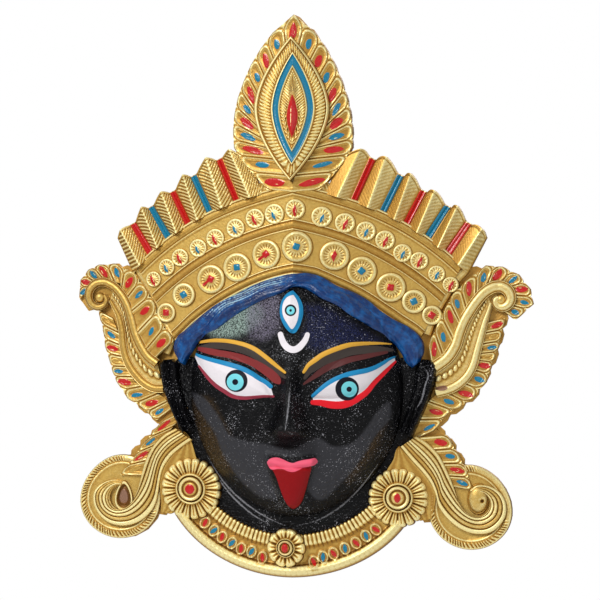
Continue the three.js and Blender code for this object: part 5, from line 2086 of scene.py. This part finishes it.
class Shell:
    """The back of the casting with its hollow and hanging lug, from the part itself."""

    def build(self, node: bpy.types.Object, finish: bpy.types.Material) -> None:
        """Copies the part and presses its front down under the carved sheets.

        Args:
            node: the part's node.
            finish: the material of the back.
        """
        mesh = bmesh.new()
        mesh.from_mesh(node.data)
        bmesh.ops.remove_doubles(mesh, verts=mesh.verts, dist=1e-6)
        points = np.array([v.co for v in mesh.verts], float) * 1000
        x, z = unsway(points[:, 0] / MIL, (points[:, 2] + LUG_UP) / MIL)
        rise = -points[:, 1] - bow(x, z) * MIL
        share = np.hypot(x, z - FACE.middle) / FACE.radius(x, z)
        limit = np.where(share < 0.985, FACE.height(x, z) - 1.5, GROUND)
        y = points[:, 1] + np.maximum(rise - limit, 0)
        front = mesh.verts.layers.float.new("front")
        painted = (rise > limit - 0.4).astype(float)
        for vert, value, gilt in zip(mesh.verts, (y / 1000).tolist(), painted.tolist()):
            vert.co.y = value
            vert[front] = gilt
        stand("shell", mesh, finish)


@dataclass(frozen=True)
class Studio:
    """Plain pale surroundings: a floor, a soft light and a camera a little to the right of the middle."""

    azimuth: float = math.radians(8)
    distance: float = 2.6
    frame: float = 0.2688  # height of what the camera shows, in metres
    aim: Vector = field(default_factory=lambda: Vector((0.0, -0.029, -0.0341)))
    shift: float = 0.00314
    floor_down: float = -0.27

    def build(self) -> None:
        """Makes the floor, the lights, the world and the camera."""
        self.floor()
        self.lights()
        self.camera()

    def floor(self) -> None:
        """A small pale floor under the mask."""
        mesh = bmesh.new()
        bmesh.ops.create_circle(mesh, cap_ends=True, segments=96, radius=0.5)
        for vert in mesh.verts:
            vert.co.z = self.floor_down
        finish = Bench("pale_floor").dress(base_color=(0.86, 0.86, 0.86), roughness=0.8)
        made = put("floor", mesh, finish)

    def lights(self) -> None:
        """A large soft key from the upper left, a weak fill from the right, and a pale world."""
        for name, where, size, power in (
            ("key", Vector((-0.62, -1.3, 0.85)), 0.6, 23.0),
            ("fill", Vector((1.1, -1.2, 0.1)), 1.2, 3.0),
            ("behind", Vector((0.4, 1.4, 0.8)), 1.2, 10.0),
        ):
            lamp = bpy.data.lights.new(name, "AREA")
            lamp.shape = "DISK"
            lamp.size = size
            lamp.energy = power
            made = bpy.data.objects.new(name, lamp)
            made.location = where
            made.rotation_mode = "QUATERNION"
            made.rotation_quaternion = (where - self.aim).to_track_quat("Z", "Y")
            bpy.context.scene.collection.objects.link(made)
        world = bpy.data.worlds.new("pale")
        world.use_nodes = True
        nodes, links = world.node_tree.nodes, world.node_tree.links
        around = next(n for n in nodes if n.type == "BACKGROUND")
        sky = nodes.new("ShaderNodeBackground")
        for ground, strength in ((around, 0.36), (sky, 1.0)):
            ground.inputs["Color"].default_value = (1, 1, 1, 1)
            ground.inputs["Strength"].default_value = strength
        ray = nodes.new("ShaderNodeLightPath")
        choose = nodes.new("ShaderNodeMixShader")
        shares = (ray.outputs["Is Camera Ray"], around.outputs[0], sky.outputs[0])
        for output, socket in zip(shares, choose.inputs):
            links.new(output, socket)
        links.new(choose.outputs[0], next(n for n in nodes if n.type == "OUTPUT_WORLD").inputs[0])
        bpy.context.scene.world = world

    def camera(self) -> None:
        """The camera, level with the mask."""
        data = bpy.data.cameras.new("camera")
        data.sensor_width = 36
        data.lens = data.sensor_width * self.distance / self.frame
        data.clip_end = 50
        made = bpy.data.objects.new("camera", data)
        back = Vector((math.sin(self.azimuth), -math.cos(self.azimuth), 0))
        right = Vector((math.cos(self.azimuth), math.sin(self.azimuth), 0))
        made.location = self.aim + right * self.shift + back * self.distance
        made.rotation_mode = "QUATERNION"
        made.rotation_quaternion = back.to_track_quat("Z", "Y")
        bpy.context.scene.collection.objects.link(made)
        bpy.context.scene.camera = made
        bpy.context.scene.view_settings.view_transform = "Standard"


Part = Finial | Crown | Flutes | UpperScroll | LowerScroll | Flower | Collar | Hair | Face


def cast(name: str, finish: bpy.types.Material, part: Part, coats: Iterable[Enum] = Coat) -> None:
    """Builds one piece of the mask in its finish.

    Args:
        name: the piece's name.
        finish: the material of all its faces.
        part: the sub-assembly that lays its sheets.
        coats: the painted marks that the finish reads.
    """
    casting = Casting(name, finish, coats)
    part.build(casting)
    casting.done()


def main() -> None:
    """Builds the mask's pieces in order, and the surroundings."""
    logging.basicConfig(level=logging.INFO, format="%(message)s")
    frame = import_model()
    gilding = Gilding().made()
    brass = BackBrass().made()
    Shell().build(frame["nodes"][NODE], brass)
    cast("finial", gilding, Finial())
    cast("crown", gilding, Crown())
    for side in Side:
        word = side.name.lower()
        cast(f"flutes_{word}", gilding, Flutes(side))
        cast(f"upper_scroll_{word}", gilding, UpperScroll(side))
        cast(f"lower_scroll_{word}", gilding, LowerScroll(side))
        cast(f"rosette_{word}", gilding, ROSETTES[side])
    cast("collar", gilding, Collar())
    cast("hair", HairPaint().made(), Hair(), (Coat.PALE, Coat.WORN))
    cast("face", FacePaint().made(), Face(), Brush)
    Studio().build()
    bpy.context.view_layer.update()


if __name__ == "__main__":
    main()
